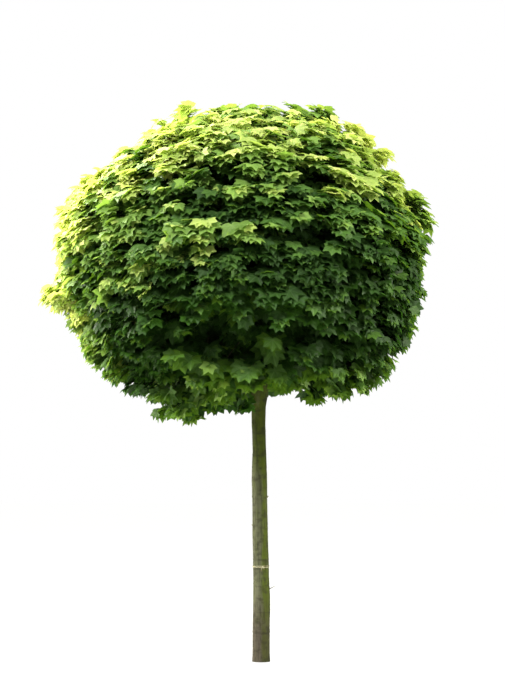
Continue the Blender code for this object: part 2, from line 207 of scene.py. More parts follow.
# %% Floor
FLOOR_RADIUS, FLOOR_SIDES = 60.0, 96
FLOOR_PLACE = (0, 0, -0.004)  # a little below the cut under the trunk, so the two never share a plane
FLOOR_COLOUR, FLOOR_GLOW = (0.45, 0.45, 0.445, 1), (1, 1, 0.995, 1)
FLOOR_SHINE = 1.17  # what the floor shows to the camera before any light falls on it
FLOOR_SHARE = 0.82  # how much of its look is that

bpy.ops.mesh.primitive_circle_add(
    vertices=FLOOR_SIDES, radius=FLOOR_RADIUS, fill_type="NGON", location=FLOOR_PLACE
)
floor = bpy.context.object
floor.name = "floor"
bpy.ops.object.transform_apply(location=True)
pale = bpy.data.materials.new("pale_floor")
pale.use_nodes = True
tree = pale.node_tree
tree.nodes.remove(tree.nodes["Principled BSDF"])
matt = tree.nodes.new("ShaderNodeBsdfDiffuse")
matt.inputs["Color"].default_value = FLOOR_COLOUR
glow = tree.nodes.new("ShaderNodeEmission")
glow.inputs["Color"].default_value = FLOOR_GLOW
glow.inputs["Strength"].default_value = FLOOR_SHINE
either = tree.nodes.new("ShaderNodeMixShader")
seen = tree.nodes.new("ShaderNodeLightPath")
share = tree.nodes.new("ShaderNodeMath")
share.operation = "MULTIPLY"
share.inputs[1].default_value = FLOOR_SHARE
tree.links.new(seen.outputs["Is Camera Ray"], share.inputs[0])
tree.links.new(share.outputs[0], either.inputs["Fac"])
tree.links.new(matt.outputs[0], either.inputs[1])
tree.links.new(glow.outputs[0], either.inputs[2])
tree.links.new(either.outputs[0], tree.nodes["Material Output"].inputs["Surface"])
floor.data.materials.append(pale)
print("A floor", 2 * FLOOR_RADIUS, "m across")

# %% Light
SKY_GLOW = 0.58  # how much light the sky gives overhead
GROUND_GLOW = 0.10  # and how much comes up from below
GLOW_HEIGHTS = (-0.3, 0.9)  # the heights of a direction between which one becomes the other
BACKDROP = 1.0  # how bright the sky looks
LAMPS = (
    # place, what it points at, size, watts, colour
    ((-6.0, 3.6, 11.5), (-0.2, 0.0, 3.4), 3.0, 3600, (1.0, 0.96, 0.85)),
    ((-9.8, 1.4, 5.8), (-0.3, 0.0, 2.8), 4.0, 2800, (1.0, 0.97, 0.88)),
    ((-3.5, -8.0, 11.0), (-0.2, -0.5, 3.0), 3.5, 2200, (0.98, 1.0, 0.97)),
    ((9.0, -2.5, 8.5), (0.3, 0.0, 3.2), 4.0, 2100, (1.0, 0.98, 0.88)),
    ((7.0, -9.0, 4.5), (0.5, 0.0, 2.9), 5.0, 330, (0.98, 1.0, 0.96)),
)

for i, (place, aim, size, watts, colour) in enumerate(LAMPS):
    lamp_data = bpy.data.lights.new(f"lamp_{i + 1}", "AREA")
    lamp_data.shape = "DISK"
    lamp_data.size = size
    lamp_data.energy = watts
    lamp_data.color = colour
    lamp = bpy.data.objects.new(lamp_data.name, lamp_data)
    bpy.context.scene.collection.objects.link(lamp)
    lamp.location = place
    away = np.array(place) - np.array(aim)
    tipped, turned = math.atan2(math.hypot(away[0], away[1]), away[2]), math.atan2(away[0], -away[1])
    lamp.rotation_euler = (tipped, 0, turned)

world = bpy.data.worlds.new("sky")
bpy.context.scene.world = world
world.use_nodes = True
sky = world.node_tree
background = sky.nodes["Background"]
background.inputs["Color"].default_value = (1, 1, 1, 1)
way = sky.nodes.new("ShaderNodeSeparateXYZ")
sky.links.new(sky.nodes.new("ShaderNodeTexCoord").outputs["Generated"], way.inputs[0])
dome = sky.nodes.new("ShaderNodeMapRange")
sky.links.new(way.outputs["Z"], dome.inputs["Value"])
from_to = ("From Min", "From Max", "To Min", "To Max")
for name, number in zip(from_to, (*GLOW_HEIGHTS, GROUND_GLOW, SKY_GLOW)):
    dome.inputs[name].default_value = number
path = sky.nodes.new("ShaderNodeLightPath")
strength = sky.nodes.new("ShaderNodeMix")
strength.inputs["B"].default_value = BACKDROP
sky.links.new(path.outputs["Is Camera Ray"], strength.inputs["Factor"])
sky.links.new(dome.outputs["Result"], strength.inputs["A"])
sky.links.new(strength.outputs["Result"], background.inputs["Strength"])
bpy.context.scene.view_settings.view_transform = "Standard"
print(len(LAMPS), "lamps and the sky")

# %% [markdown]
# ## Small tools
# Three helpers are used again and again: one makes a mesh from arrays, one hands a finished piece over to
# the tree, and one runs a round limb of changing thickness along a line. A curve with a bevel could make
# such a limb too, but thousands of curves are slow. So one straight limb is modelled, as by hand, from a
# circle that is extruded step by step, and its copies are bent along their lines.

# %% Handing over a finished piece
pieces = []


def finish_piece(piece, name, material, stands_for):
    """Names the piece, gives it its material, hangs it on the root and hides the plain solids it stands for.
    """
    piece.name = piece.data.name = name
    piece.data.materials.clear()
    piece.data.materials.append(material)
    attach(piece, "root")
    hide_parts(*stands_for)
    pieces.append(piece)
    return piece


def mesh_from(name, corners, faces, uv=None):
    """A mesh object from an array of corners and one of faces that all have as many corners."""
    mesh = bpy.data.meshes.new(name)
    mesh.vertices.add(len(corners))
    mesh.vertices.foreach_set("co", np.ascontiguousarray(corners, dtype=np.float32).ravel())
    mesh.loops.add(faces.size)
    mesh.loops.foreach_set("vertex_index", np.ascontiguousarray(faces, dtype=np.int32).ravel())
    mesh.polygons.add(len(faces))
    mesh.polygons.foreach_set("loop_start", np.arange(0, faces.size, faces.shape[1], dtype=np.int32))
    if uv is not None:
        layer = mesh.uv_layers.new(name="blade")
        layer.data.foreach_set("uv", np.ascontiguousarray(uv, dtype=np.float32).ravel())
    mesh.update()
    mesh.validate()
    piece = bpy.data.objects.new(name, mesh)
    bpy.context.scene.collection.objects.link(piece)
    mesh.shade_smooth()
    return piece


# %% One straight limb, modelled once for each fineness
ANY_WAY = (0.31, 0.57, 0.76)  # a slanting direction, for limbs that have no bend to lie across
STRAIGHT = 1e-7  # a limb that bends less than this counts as straight


def straight_limb(sides, steps):
    """A closed tube of radius 1 with a ring of corners at every whole number up to steps along Z."""
    bpy.ops.object.select_all(action="DESELECT")
    bpy.ops.mesh.primitive_circle_add(vertices=sides, radius=1, fill_type="NGON")
    limb = bpy.context.object
    bpy.ops.object.mode_set(mode="EDIT")
    bpy.ops.mesh.select_all(action="SELECT")
    for _ in range(steps):
        bpy.ops.mesh.extrude_region_move(TRANSFORM_OT_translate={"value": (0, 0, 1)})
    bpy.ops.mesh.select_all(action="SELECT")
    bpy.ops.mesh.normals_make_consistent(inside=False)
    bpy.ops.mesh.quads_convert_to_tris()
    bpy.ops.object.mode_set(mode="OBJECT")
    corners = np.array([corner.co for corner in limb.data.vertices])
    faces = np.array([face.vertices for face in limb.data.polygons])
    bpy.data.objects.remove(limb)
    return corners, faces


def along_lines(name, lines, radii, sides):
    """Copies of the straight limb, one bent along each line, with its own radius at each point of it."""
    lines, radii = np.asarray(lines), np.asarray(radii)
    count, steps = lines.shape[0], lines.shape[1] - 1
    corners, faces = straight_limb(sides, steps)
    station = np.round(corners[:, 2]).astype(int)
    ahead = unit(np.gradient(lines, axis=1))
    bow = np.cross(lines[:, steps // 2] - lines[:, 0], lines[:, -1] - lines[:, 0])
    spare = np.cross(ahead[:, 0], ANY_WAY)
    across = unit(np.where(np.linalg.norm(bow, axis=1, keepdims=True) > STRAIGHT, bow, spare))[:, None]
    across = unit(across - ahead * np.sum(across * ahead, axis=2, keepdims=True))
    over = np.cross(ahead, across)
    placed = (
        lines[:, station]
        + across[:, station] * (radii[:, station] * corners[:, 0])[..., None]
        + over[:, station] * (radii[:, station] * corners[:, 1])[..., None]
    )
    every = faces[None] + (np.arange(count) * len(corners))[:, None, None]
    return mesh_from(name, placed.reshape(-1, 3), every.reshape(-1, 3))


def bend(start, pull, end, count):
    """Points along smooth bends from start to end, drawn towards pull: one row of points for each."""
    t = np.linspace(0, 1, count)[None, :, None]
    return start[:, None] * (1 - t) ** 2 + pull[:, None] * (2 * t * (1 - t)) + end[:, None] * t**2


print("A limb of 5 sides and 4 steps has", len(straight_limb(5, 4)[1]), "triangles")

# %% [markdown]
# ## Finishes
# Bark and leaves could be painted with pictures, but these show seams and blur close by, so nodes paint
# them. Bark is streaked along the stem, freckled across it and greened by algae. A leaf has main veins that
# fan out from its stalk. Both patterns are node groups, so that several materials can use them with their
# own colours. Bark reads the place in space, and a leaf reads its own UV map, which its copies share.

# %% A few lines that every material needs
def put(tree, kind, **sockets):
    """Adds a node and fills in its sockets, given by name with underscores for spaces."""
    node = tree.nodes.new(kind)
    for name, value in sockets.items():
        node.inputs[name.replace("_", " ")].default_value = value
    return node


def sum_up(tree, operation, a, b=None, c=None, clamp=False):
    """A Math node fed by sockets or plain numbers. Returns its output."""
    node = tree.nodes.new("ShaderNodeMath")
    node.operation, node.use_clamp = operation, clamp
    for slot, value in enumerate((a, b, c)):
        if isinstance(value, (int, float)):
            node.inputs[slot].default_value = value
        elif value is not None:
            tree.links.new(value, node.inputs[slot])
    return node.outputs[0]


def blend_colours(tree, factor, a, b):
    """A colour Mix node fed by sockets or plain colours. Returns its output."""
    node = tree.nodes.new("ShaderNodeMix")
    node.data_type = "RGBA"
    for slot, value in ((0, factor), (6, a), (7, b)):  # the node's sockets for a colour mix
        if isinstance(value, bpy.types.NodeSocket):
            tree.links.new(value, node.inputs[slot])
        elif isinstance(value, tuple):
            node.inputs[slot].default_value = (*value, 1)
        else:
            node.inputs[slot].default_value = value
    return node.outputs[2]


def ramp(tree, value, start, end, to_start=0.0, to_end=1.0):
    """A smooth Map Range: start becomes to_start and end becomes to_end."""
    node = put(tree, "ShaderNodeMapRange")
    node.interpolation_type = "SMOOTHSTEP"
    tree.links.new(value, node.inputs["Value"])
    for name, number in zip(from_to, (start, end, to_start, to_end)):
        node.inputs[name].default_value = number
    return node.outputs["Result"]


print("Nodes can be added, summed, blended and ramped")

# %% Node groups, and noise on stretched coordinates
NOISE_ROUGHNESS = 0.6


def new_group(name, inputs, outputs):
    """An empty node group with these sockets: returns it with its input and output nodes."""
    group = bpy.data.node_groups.new(name, "ShaderNodeTree")
    kinds = {"colour": "NodeSocketColor", "number": "NodeSocketFloat"}
    for side, sockets in (("INPUT", inputs), ("OUTPUT", outputs)):
        for socket, kind in sockets:
            group.interface.new_socket(socket, in_out=side, socket_type=kinds[kind])
    return group, group.nodes.new("NodeGroupInput"), group.nodes.new("NodeGroupOutput")


def noise_on(tree, coordinates, stretch, scale, detail=3.0):
    """Noise on coordinates that are first stretched: a large number in stretch makes it fine that way."""
    mapping = tree.nodes.new("ShaderNodeMapping")
    mapping.inputs["Scale"].default_value = stretch
    tree.links.new(coordinates, mapping.inputs["Vector"])
    noise = put(tree, "ShaderNodeTexNoise", Scale=scale, Detail=detail, Roughness=NOISE_ROUGHNESS)
    tree.links.new(mapping.outputs[0], noise.inputs["Vector"])
    return noise.outputs["Fac"]


print("Groups and noise can be made too")

# %% The bark group: streaks, freckles and algae
BARK_NOISES = (  # stretch along X, Y and Z, scale, detail
    ((1, 1, 0.10), 70, 4),
    ((1, 1, 0.35), 16, 3),
    ((1, 1, 1.5), 14, 3),
    ((1, 1, 5), 42, 3),
)
PATCHY_ALGAE = (2.4, -1.2)  # turns noise round a half into patches of more and of fewer algae
FRECKLE_DEPTH = 0.3

bark_group, taken, given = new_group(
    "bark_grain",
    [
        ("Grey", "colour"), ("Algae", "colour"), ("Dark", "colour"),
        ("Algae Share", "number"), ("Scar And Shade", "number"),
    ],
    [("Colour", "colour"), ("Height", "number")],
)
grey, algae, dark, algae_share, scar_and_shade = taken.outputs[:5]
where = bark_group.nodes.new("ShaderNodeTexCoord").outputs["Object"]
streaks, blotches, mottling, freckles = (noise_on(bark_group, where, *noise) for noise in BARK_NOISES)
cracks = ramp(bark_group, streaks, 0.36, 0.50, 1, 0)
specks = ramp(bark_group, freckles, 0.60, 0.70)
mottled = ramp(bark_group, mottling, 0.46, 0.66)
patches = sum_up(bark_group, "MULTIPLY_ADD", blotches, *PATCHY_ALGAE)
mossy = sum_up(bark_group, "ADD", algae_share, patches, clamp=True)
colour = blend_colours(bark_group, mossy, grey, algae)
# the last mark darkens the trunk's scars, as stains, and the grooves under its rings, as painted shade
for marks, how_dark in ((mottled, 0.60), (cracks, 0.55), (specks, 0.30), (scar_and_shade, 0.85)):
    darker = sum_up(bark_group, "MULTIPLY", marks, how_dark, clamp=True)
    colour = blend_colours(bark_group, darker, colour, dark)
bark_group.links.new(colour, given.inputs["Colour"])
height = sum_up(bark_group, "SUBTRACT", streaks, sum_up(bark_group, "MULTIPLY", specks, FRECKLE_DEPTH))
bark_group.links.new(height, given.inputs["Height"])
print("The bark group has", len(bark_group.nodes), "nodes")

# %% Finishes made with the bark group
BARK_GLOSS = 0.15
FOOT_HEIGHTS = (0.20, 0.70)  # between these the foot's colours give way to the stem's
BARK_DEPTH = 0.004  # metres that the bump of streaks and freckles stands for


def bark_material(name, grey, algae, dark, roughness, bump, green_side, foot=None):
    """Bark whose algae grow by green_side, which on the stem also lays the algae colour as painted shade:
    least X, X of most algae, least Z, Z of most, least, most.
    foot holds the colours that take the place of grey and algae near the ground."""
    material = bpy.data.materials.new(name)
    material.use_nodes = True
    tree = material.node_tree
    shader = tree.nodes["Principled BSDF"]
    shader.inputs["Roughness"].default_value = roughness
    shader.inputs["Specular IOR Level"].default_value = BARK_GLOSS
    grain = tree.nodes.new("ShaderNodeGroup")
    grain.node_tree = bark_group
    for socket, value in (("Grey", grey), ("Algae", algae), ("Dark", dark)):
        grain.inputs[socket].default_value = (*value, 1)
    place = tree.nodes.new("ShaderNodeSeparateXYZ")
    tree.links.new(tree.nodes.new("ShaderNodeTexCoord").outputs["Object"], place.inputs[0])
    if foot:
        off_ground = ramp(tree, place.outputs["Z"], *FOOT_HEIGHTS)
        tree.links.new(blend_colours(tree, off_ground, foot[0], grey), grain.inputs["Grey"])
        tree.links.new(blend_colours(tree, off_ground, foot[1], algae), grain.inputs["Algae"])
    x0, x1, z0, z1, least, most = green_side
    round_it = ramp(tree, place.outputs["X"], x0, x1)
    up_it = ramp(tree, place.outputs["Z"], z0, z1)
    both = sum_up(tree, "MULTIPLY_ADD", sum_up(tree, "ADD", round_it, up_it), (most - least) / 2, least)
    tree.links.new(both, grain.inputs["Algae Share"])
    scar_and_shade = tree.nodes.new("ShaderNodeAttribute")
    scar_and_shade.attribute_name = "scar_and_shade"
    tree.links.new(scar_and_shade.outputs["Fac"], grain.inputs["Scar And Shade"])
    tree.links.new(grain.outputs["Colour"], shader.inputs["Base Color"])
    relief = put(tree, "ShaderNodeBump", Strength=bump, Distance=BARK_DEPTH)
    tree.links.new(grain.outputs["Height"], relief.inputs["Height"])
    tree.links.new(relief.outputs["Normal"], shader.inputs["Normal"])
    return material


# On the stem the darker algae colour lies on its right side and below the head: partly real algae and partly
# painted shade, on the side away from the main lamps and in the head's shadow. On the boughs algae grow here
# and there.
ALGAE_AND_SHADE_ON_STEM, ON_BOUGHS = (-0.018, 0.030, 1.35, 1.80, 0.0, 2.0), (-2, 2, 2, 3, 0.3, 0.7)
trunk_finish = bark_material(
    "trunk_bark", (0.080, 0.083, 0.045), (0.048, 0.064, 0.005), (0.018, 0.017, 0.008), 0.85, 0.8, ALGAE_AND_SHADE_ON_STEM,
    foot=((0.060, 0.050, 0.035), (0.041, 0.043, 0.011)),
)
bough_finish = bark_material(
    "bough_bark", (0.14, 0.13, 0.08), (0.09, 0.11, 0.035), (0.03, 0.028, 0.015), 0.8, 0.5, ON_BOUGHS
)
twig_finish = bark_material(
    "twig_bark", (0.12, 0.10, 0.045), (0.10, 0.13, 0.03), (0.045, 0.03, 0.012), 0.6, 0.3, ON_BOUGHS
)
print("Bark finishes: trunk, boughs and twigs")

# %% The leaf group: main veins, ribs and blotches
MAIN_VEIN_STEP = 0.8976  # radians between two main veins, a seventh of a turn
MAIN_VEIN = (0.008, 0.035)  # from this far aside of its middle a vein fades, and here it ends
RIBS = 52.0  # how close the fine ribs are
MAIN_SHOWS, RIBS_SHOW = 0.65, 0.15

blade_group, taken, given = new_group(
    "leaf_blade",
    [("Blade", "colour"), ("Veins", "colour"), ("Shade", "colour")],
    [("Colour", "colour"), ("Height", "number")],
)
on_blade = blade_group.nodes.new("ShaderNodeUVMap")
on_blade.uv_map = "blade"
flat = blade_group.nodes.new("ShaderNodeSeparateXYZ")
blade_group.links.new(on_blade.outputs[0], flat.inputs[0])
x, y = flat.outputs["X"], flat.outputs["Y"]
angle = sum_up(blade_group, "ARCTAN2", y, x)
off_vein = sum_up(blade_group, "PINGPONG", angle, MAIN_VEIN_STEP / 2)
squares = [sum_up(blade_group, "MULTIPLY", side, side) for side in (x, y)]
from_stalk = sum_up(blade_group, "SQRT", sum_up(blade_group, "ADD", *squares))
aside = sum_up(blade_group, "MULTIPLY", from_stalk, sum_up(blade_group, "SINE", off_vein))
main_veins = ramp(blade_group, aside, *MAIN_VEIN, 1, 0)
waves = sum_up(blade_group, "MULTIPLY", sum_up(blade_group, "ADD", from_stalk, aside), RIBS)
ribs = ramp(blade_group, sum_up(blade_group, "SINE", waves), 0.75, 1.0)
where = blade_group.nodes.new("ShaderNodeTexCoord").outputs["Object"]
blotches = ramp(blade_group, noise_on(blade_group, where, (1, 1, 1), 13, 2), 0.35, 0.68)
colour = blend_colours(blade_group, blotches, taken.outputs["Blade"], taken.outputs["Shade"])
faint_ribs = sum_up(blade_group, "MULTIPLY", ribs, RIBS_SHOW)
veins = sum_up(blade_group, "MULTIPLY_ADD", main_veins, MAIN_SHOWS, faint_ribs, clamp=True)
colour = blend_colours(blade_group, veins, colour, taken.outputs["Veins"])
blade_group.links.new(colour, given.inputs["Colour"])
blade_group.links.new(sum_up(blade_group, "MULTIPLY", veins, -1.0), given.inputs["Height"])
print("The leaf group has", len(blade_group.nodes), "nodes")

# %% How a leaf's material is put together
LEAF_ROUGHNESS, LEAF_GLOSS = 0.58, 0.22
UNDERSIDE_SHOWS = 0.3  # how much of the paler colour a blade takes on where its back is seen
VEIN_RELIEF, VEIN_DEPTH = 0.35, 0.002
LIGHT_THROUGH = 0.40  # the share of the light that passes through the blade


def leaf_material(name, blade, shade, veins, through, underside):
    """A leaf: a dull gloss on the blade, paler below, and some light comes through it."""
    material = bpy.data.materials.new(name)
    material.use_nodes = True
    tree = material.node_tree
    shader = tree.nodes["Principled BSDF"]
    shader.inputs["Roughness"].default_value = LEAF_ROUGHNESS
    shader.inputs["Specular IOR Level"].default_value = LEAF_GLOSS
    group = tree.nodes.new("ShaderNodeGroup")
    group.node_tree = blade_group
    for socket, value in (("Blade", blade), ("Shade", shade), ("Veins", veins)):
        group.inputs[socket].default_value = (*value, 1)
    below = tree.nodes.new("ShaderNodeNewGeometry").outputs["Backfacing"]
    paler = sum_up(tree, "MULTIPLY", below, UNDERSIDE_SHOWS)
    colour = blend_colours(tree, paler, group.outputs["Colour"], underside)
    tree.links.new(colour, shader.inputs["Base Color"])
    relief = put(tree, "ShaderNodeBump", Strength=VEIN_RELIEF, Distance=VEIN_DEPTH)
    tree.links.new(group.outputs["Height"], relief.inputs["Height"])
    tree.links.new(relief.outputs["Normal"], shader.inputs["Normal"])
    glow = put(tree, "ShaderNodeBsdfTranslucent", Color=(*through, 1))
    mixed = put(tree, "ShaderNodeMixShader", Fac=LIGHT_THROUGH)
    tree.links.new(shader.outputs[0], mixed.inputs[1])
    tree.links.new(glow.outputs[0], mixed.inputs[2])
    tree.links.new(mixed.outputs[0], tree.nodes["Material Output"].inputs["Surface"])
    return material


print("A leaf lets", round(LIGHT_THROUGH * 100), "% of the light through")

# %% Five kinds of leaf
# From the darkest, for old leaves and painted shade, to the lightest, for young leaves and painted sunlight
# at the top, with a row for the blade, its blotches and its veins, and one for the light that comes through
# and the underside.
LEAF_COLOURS = {
    "deep": (
        (0.024, 0.062, 0.009), (0.016, 0.042, 0.006), (0.052, 0.108, 0.028),
        (0.04, 0.12, 0.01), (0.05, 0.10, 0.03),
    ),
    "mid": (
        (0.058, 0.130, 0.019), (0.040, 0.096, 0.013), (0.105, 0.190, 0.050),
        (0.10, 0.21, 0.01), (0.09, 0.17, 0.05),
    ),
    "fresh": (
        (0.155, 0.260, 0.046), (0.110, 0.196, 0.035), (0.205, 0.320, 0.085),
        (0.22, 0.37, 0.04), (0.17, 0.26, 0.08),
    ),
    "lime": (
        (0.315, 0.395, 0.088), (0.240, 0.325, 0.068), (0.380, 0.475, 0.140),
        (0.40, 0.55, 0.08), (0.28, 0.37, 0.12),
    ),
    "gold": (
        (0.490, 0.515, 0.160), (0.385, 0.480, 0.115), (0.540, 0.600, 0.230),
        (0.58, 0.68, 0.13), (0.43, 0.49, 0.20),
    ),
}
LEAF_KINDS = tuple(LEAF_COLOURS)
leaf_finishes = {kind: leaf_material(f"leaf_{kind}", *colours) for kind, colours in LEAF_COLOURS.items()}
stalk_finish = bark_material(
    "leaf_stalk", (0.20, 0.25, 0.06), (0.13, 0.20, 0.04), (0.16, 0.09, 0.03), 0.5, 0.1,
    (-2, 2, 2, 4, 0.2, 0.8),
)
print("Leaf finishes:", ", ".join(LEAF_KINDS))

# %% [markdown]
# ## The trunk
# A clean stem as thick as a forearm carries a swollen knuckle where the head was grafted on.
# It could be one tapered cylinder, but its outline wanders and swells, so the foot's circle is extruded
# from station to station and set to each one's diameter. Each stretch is then cut into thin rows, and every
# corner is pushed in or out by a few tenths of a millimetre to a few millimetres: ribs up the stem,
# fine wrinkles across it, rings left by old years' buds, and scars where side shoots were cut off.

# %% The trunk's rough shape, extruded ring by ring
TRUNK_OUTLINE = (  # height, diameter, how far the axis has wandered along X
    (0.00, 0.150, 0.000),
    (0.05, 0.144, 0.000),
    (0.53, 0.139, 0.004),
    (0.66, 0.131, 0.001),
    (1.00, 0.128, -0.007),
    (1.49, 0.128, -0.013),
    (1.72, 0.115, -0.014),
    (1.94, 0.111, -0.021),
    (2.10, 0.120, -0.020),
    (2.19, 0.156, -0.019),
    (2.29, 0.196, -0.018),
    (2.38, 0.190, -0.018),
    (2.44, 0.140, -0.018),
    (2.46, 0.070, -0.018),
)
TRUNK_SIDES = 72
ROW_HEIGHT = 0.009
SAME_HEIGHT = 1e-4

heights, diameters, leans = np.array(TRUNK_OUTLINE).T
bpy.ops.object.select_all(action="DESELECT")
bpy.ops.mesh.primitive_circle_add(vertices=TRUNK_SIDES, radius=diameters[0] / 2, fill_type="NGON")
trunk = bpy.context.object
bpy.ops.object.mode_set(mode="EDIT")
bpy.ops.mesh.select_all(action="SELECT")
for i in range(1, len(heights)):
    step = (leans[i] - leans[i - 1], 0, heights[i] - heights[i - 1])
    bpy.ops.mesh.extrude_region_move(TRANSFORM_OT_translate={"value": step})
    wider = diameters[i] / diameters[i - 1]
    bpy.ops.transform.resize(value=(wider, wider, 1), center_override=(leans[i], 0, heights[i]))
bpy.ops.mesh.select_all(action="SELECT")
bpy.ops.mesh.normals_make_consistent(inside=False)
bpy.ops.mesh.select_mode(type="EDGE")
for lower, upper in zip(heights, heights[1:]):
    bpy.ops.mesh.select_all(action="DESELECT")
    bpy.ops.object.mode_set(mode="OBJECT")
    corners = trunk.data.vertices
    for edge in trunk.data.edges:
        low, high = sorted(corners[corner].co.z for corner in edge.vertices)
        edge.select = bool(abs(low - lower) < SAME_HEIGHT and abs(high - upper) < SAME_HEIGHT)
    bpy.ops.object.mode_set(mode="EDIT")
    bpy.ops.mesh.subdivide(number_cuts=max(1, round((upper - lower) / ROW_HEIGHT) - 1))
bpy.ops.object.mode_set(mode="OBJECT")
print("The trunk has", len(trunk.data.vertices), "corners")

# %% Rings and scars on the bark
RINGS_ON_BARK = (
    # height, how proud, half height
    (0.245, 0.0020, 0.006),
    (0.415, 0.0012, 0.005),
    (0.630, 0.0014, 0.005),
    (0.840, 0.0014, 0.006),
    (1.115, 0.0010, 0.005),
    (1.345, 0.0024, 0.007),
    (1.595, 0.0016, 0.006),
    (1.695, 0.0012, 0.005),
    (1.750, 0.0010, 0.004),
    (1.880, 0.0010, 0.005),
)
SCARS = (
    # height, azimuth from the front, half width, half height, depth
    (0.35, -28, 0.020, 0.010, 0.0028),
    (0.84, 150, 0.016, 0.012, 0.0025),
    (1.03, 28, 0.010, 0.006, 0.0016),
    (1.22, -52, 0.014, 0.009, 0.0026),
    (1.47, 168, 0.018, 0.010, 0.0026),
    (1.58, 8, 0.015, 0.008, 0.0024),
    (1.74, -12, 0.014, 0.008, 0.0024),
    (1.90, 96, 0.012, 0.008, 0.0020),
    (0.62, 205, 0.013, 0.009, 0.0022),
    (0.14, 60, 0.012, 0.007, 0.0018),
)
print(len(RINGS_ON_BARK), "rings and", len(SCARS), "scars")

# %% Roughness that closes round the stem
STEM_TOP = 2.6


def rough(around, up, cells_round, cell_height):
    """Smooth random heights from -1 to 1, on cells that close round the stem."""
    rows = int(STEM_TOP / cell_height) + 3
    grid = rng.uniform(-1, 1, (rows, cells_round))
    u, v = (around / (2 * math.pi)) % 1 * cells_round, up / cell_height
    iu, iv = np.floor(u).astype(int), np.floor(v).astype(int)
    fu, fv = u - iu, v - iv
    fu, fv = fu * fu * (3 - 2 * fu), fv * fv * (3 - 2 * fv)
    low = grid[iv, iu % cells_round] * (1 - fu) + grid[iv, (iu + 1) % cells_round] * fu
    high = grid[iv + 1, iu % cells_round] * (1 - fu) + grid[iv + 1, (iu + 1) % cells_round] * fu
    return low * (1 - fv) + high * fv


print("The roughness reaches up to", STEM_TOP, "m")

# %% The stem's softened outline and its wrinkles
WRINKLES = (
    # how proud, cells round the stem, height of a cell
    (0.0011, 20, 0.11),
    (0.0007, 46, 0.035),
    (0.0016, 5, 0.22),
    (0.0005, 9, 0.011),
)
KNUCKLE_LUMPS = (0.005, 7, 0.10)
KNUCKLE_FROM, KNUCKLE_OVER = 2.08, 0.12  # the lumps start at this height and are in full this much higher
KNUCKLE_SHOULDER = 2.38  # above it the outline keeps its corners
PROFILE_FROM, PROFILE_POINTS = -0.1, 1351  # the outline is softened at points 2 mm apart
SOFT_REACH, SOFT_STEPS = 15, 6.0

corners = np.array([corner.co for corner in trunk.data.vertices])
up = corners[:, 2]
axis_x = np.interp(up, heights, leans)
around = np.arctan2(corners[:, 0] - axis_x, -corners[:, 1])
fine_z = np.linspace(PROFILE_FROM, STEM_TOP, PROFILE_POINTS)
profile = np.interp(fine_z, heights, diameters / 2)
window = np.exp(-0.5 * (np.arange(-SOFT_REACH, SOFT_REACH + 1) / SOFT_STEPS) ** 2)
softened = np.interp(up, fine_z, np.convolve(profile, window / window.sum(), mode="same"))
radius = np.where(up < KNUCKLE_SHOULDER, softened, np.interp(up, heights, diameters / 2))
relief = sum(proud * rough(around, up, cells, tall) for proud, cells, tall in WRINKLES)
proud, cells, tall = KNUCKLE_LUMPS
relief += np.clip((up - KNUCKLE_FROM) / KNUCKLE_OVER, 0, 1) * proud * rough(around, up, cells, tall)
print("Wrinkles from", round(relief.min() * 1000, 1), "to", round(relief.max() * 1000, 1), "mm")

# %% Rings and scars raised, and the bark finished
RING_WAVE = 0.004  # how far a ring strays up and down on its way round
GROOVE_BELOW, GROOVE_DEPTH = 2.2, 0.6  # in half heights of the ring, and as a share of how proud it is
RING_GROOVE_SHADE = 0.75  # how dark the painted shade in the groove under a ring is
SCAR_HOLLOW, SCAR_LIP = 0.75, (0.8, 1.15, 0.4)  # hollow's width; lip's share of the depth, place and width
SCAR_STAIN = 0.8
FOOT_RIM = 0.01  # the rim of the foot stays where the ground cut is
SHARP = math.radians(60)

scar_stains_and_groove_shade = np.zeros(len(corners))
# Each ring's groove is darkened in the mark: painted shade under the ring.
for height, proud, half in RINGS_ON_BARK:
    wave = height + RING_WAVE * np.sin(around * 2 + height * 9)
    groove = np.exp(-(((up - wave + GROOVE_BELOW * half) / half) ** 2))
    relief += proud * (np.exp(-(((up - wave) / half) ** 2)) - GROOVE_DEPTH * groove)
    uneven = 0.6 + 0.4 * np.sin(around + height * 31)  # a groove is darker on one side of the stem
    scar_stains_and_groove_shade = np.maximum(scar_stains_and_groove_shade, RING_GROOVE_SHADE * groove * uneven)
lip_share, lip_place, lip_width = SCAR_LIP
for height, azimuth, half_width, half_height, deep in SCARS:
    turn = (around - math.radians(azimuth) + math.pi) % (2 * math.pi) - math.pi
    off = np.hypot(turn * radius / half_width, (up - height) / half_height)
    lip = lip_share * np.exp(-(((off - lip_place) / lip_width) ** 2))
    relief += deep * (lip - np.exp(-((off / SCAR_HOLLOW) ** 2)))
    scar_stains_and_groove_shade = np.maximum(scar_stains_and_groove_shade, np.exp(-((off / SCAR_STAIN) ** 2)))
relief *= np.clip(up / FOOT_RIM, 0, 1)
radial = np.hypot(corners[:, 0] - axis_x, corners[:, 1])
on_side = radial > 1e-5
corners[on_side, 0] = axis_x[on_side] + np.sin(around[on_side]) * (radius + relief)[on_side]
corners[on_side, 1] = -np.cos(around[on_side]) * (radius + relief)[on_side]
trunk.data.vertices.foreach_set("co", corners.ravel())
# The mark holds the scars' stains and the painted shade in the grooves under the rings.
mark = trunk.data.attributes.new("scar_and_shade", "FLOAT", "POINT")
mark.data.foreach_set("value", scar_stains_and_groove_shade.astype(np.float32))
trunk.data.update()
trunk.data.shade_smooth()
trunk.data.set_sharp_from_angle(angle=SHARP)
finish_piece(trunk, "trunk_bark", trunk_finish, ["trunk"])
print("Relief from", round(relief.min() * 1000, 1), "to", round(relief.max() * 1000, 1), "mm")

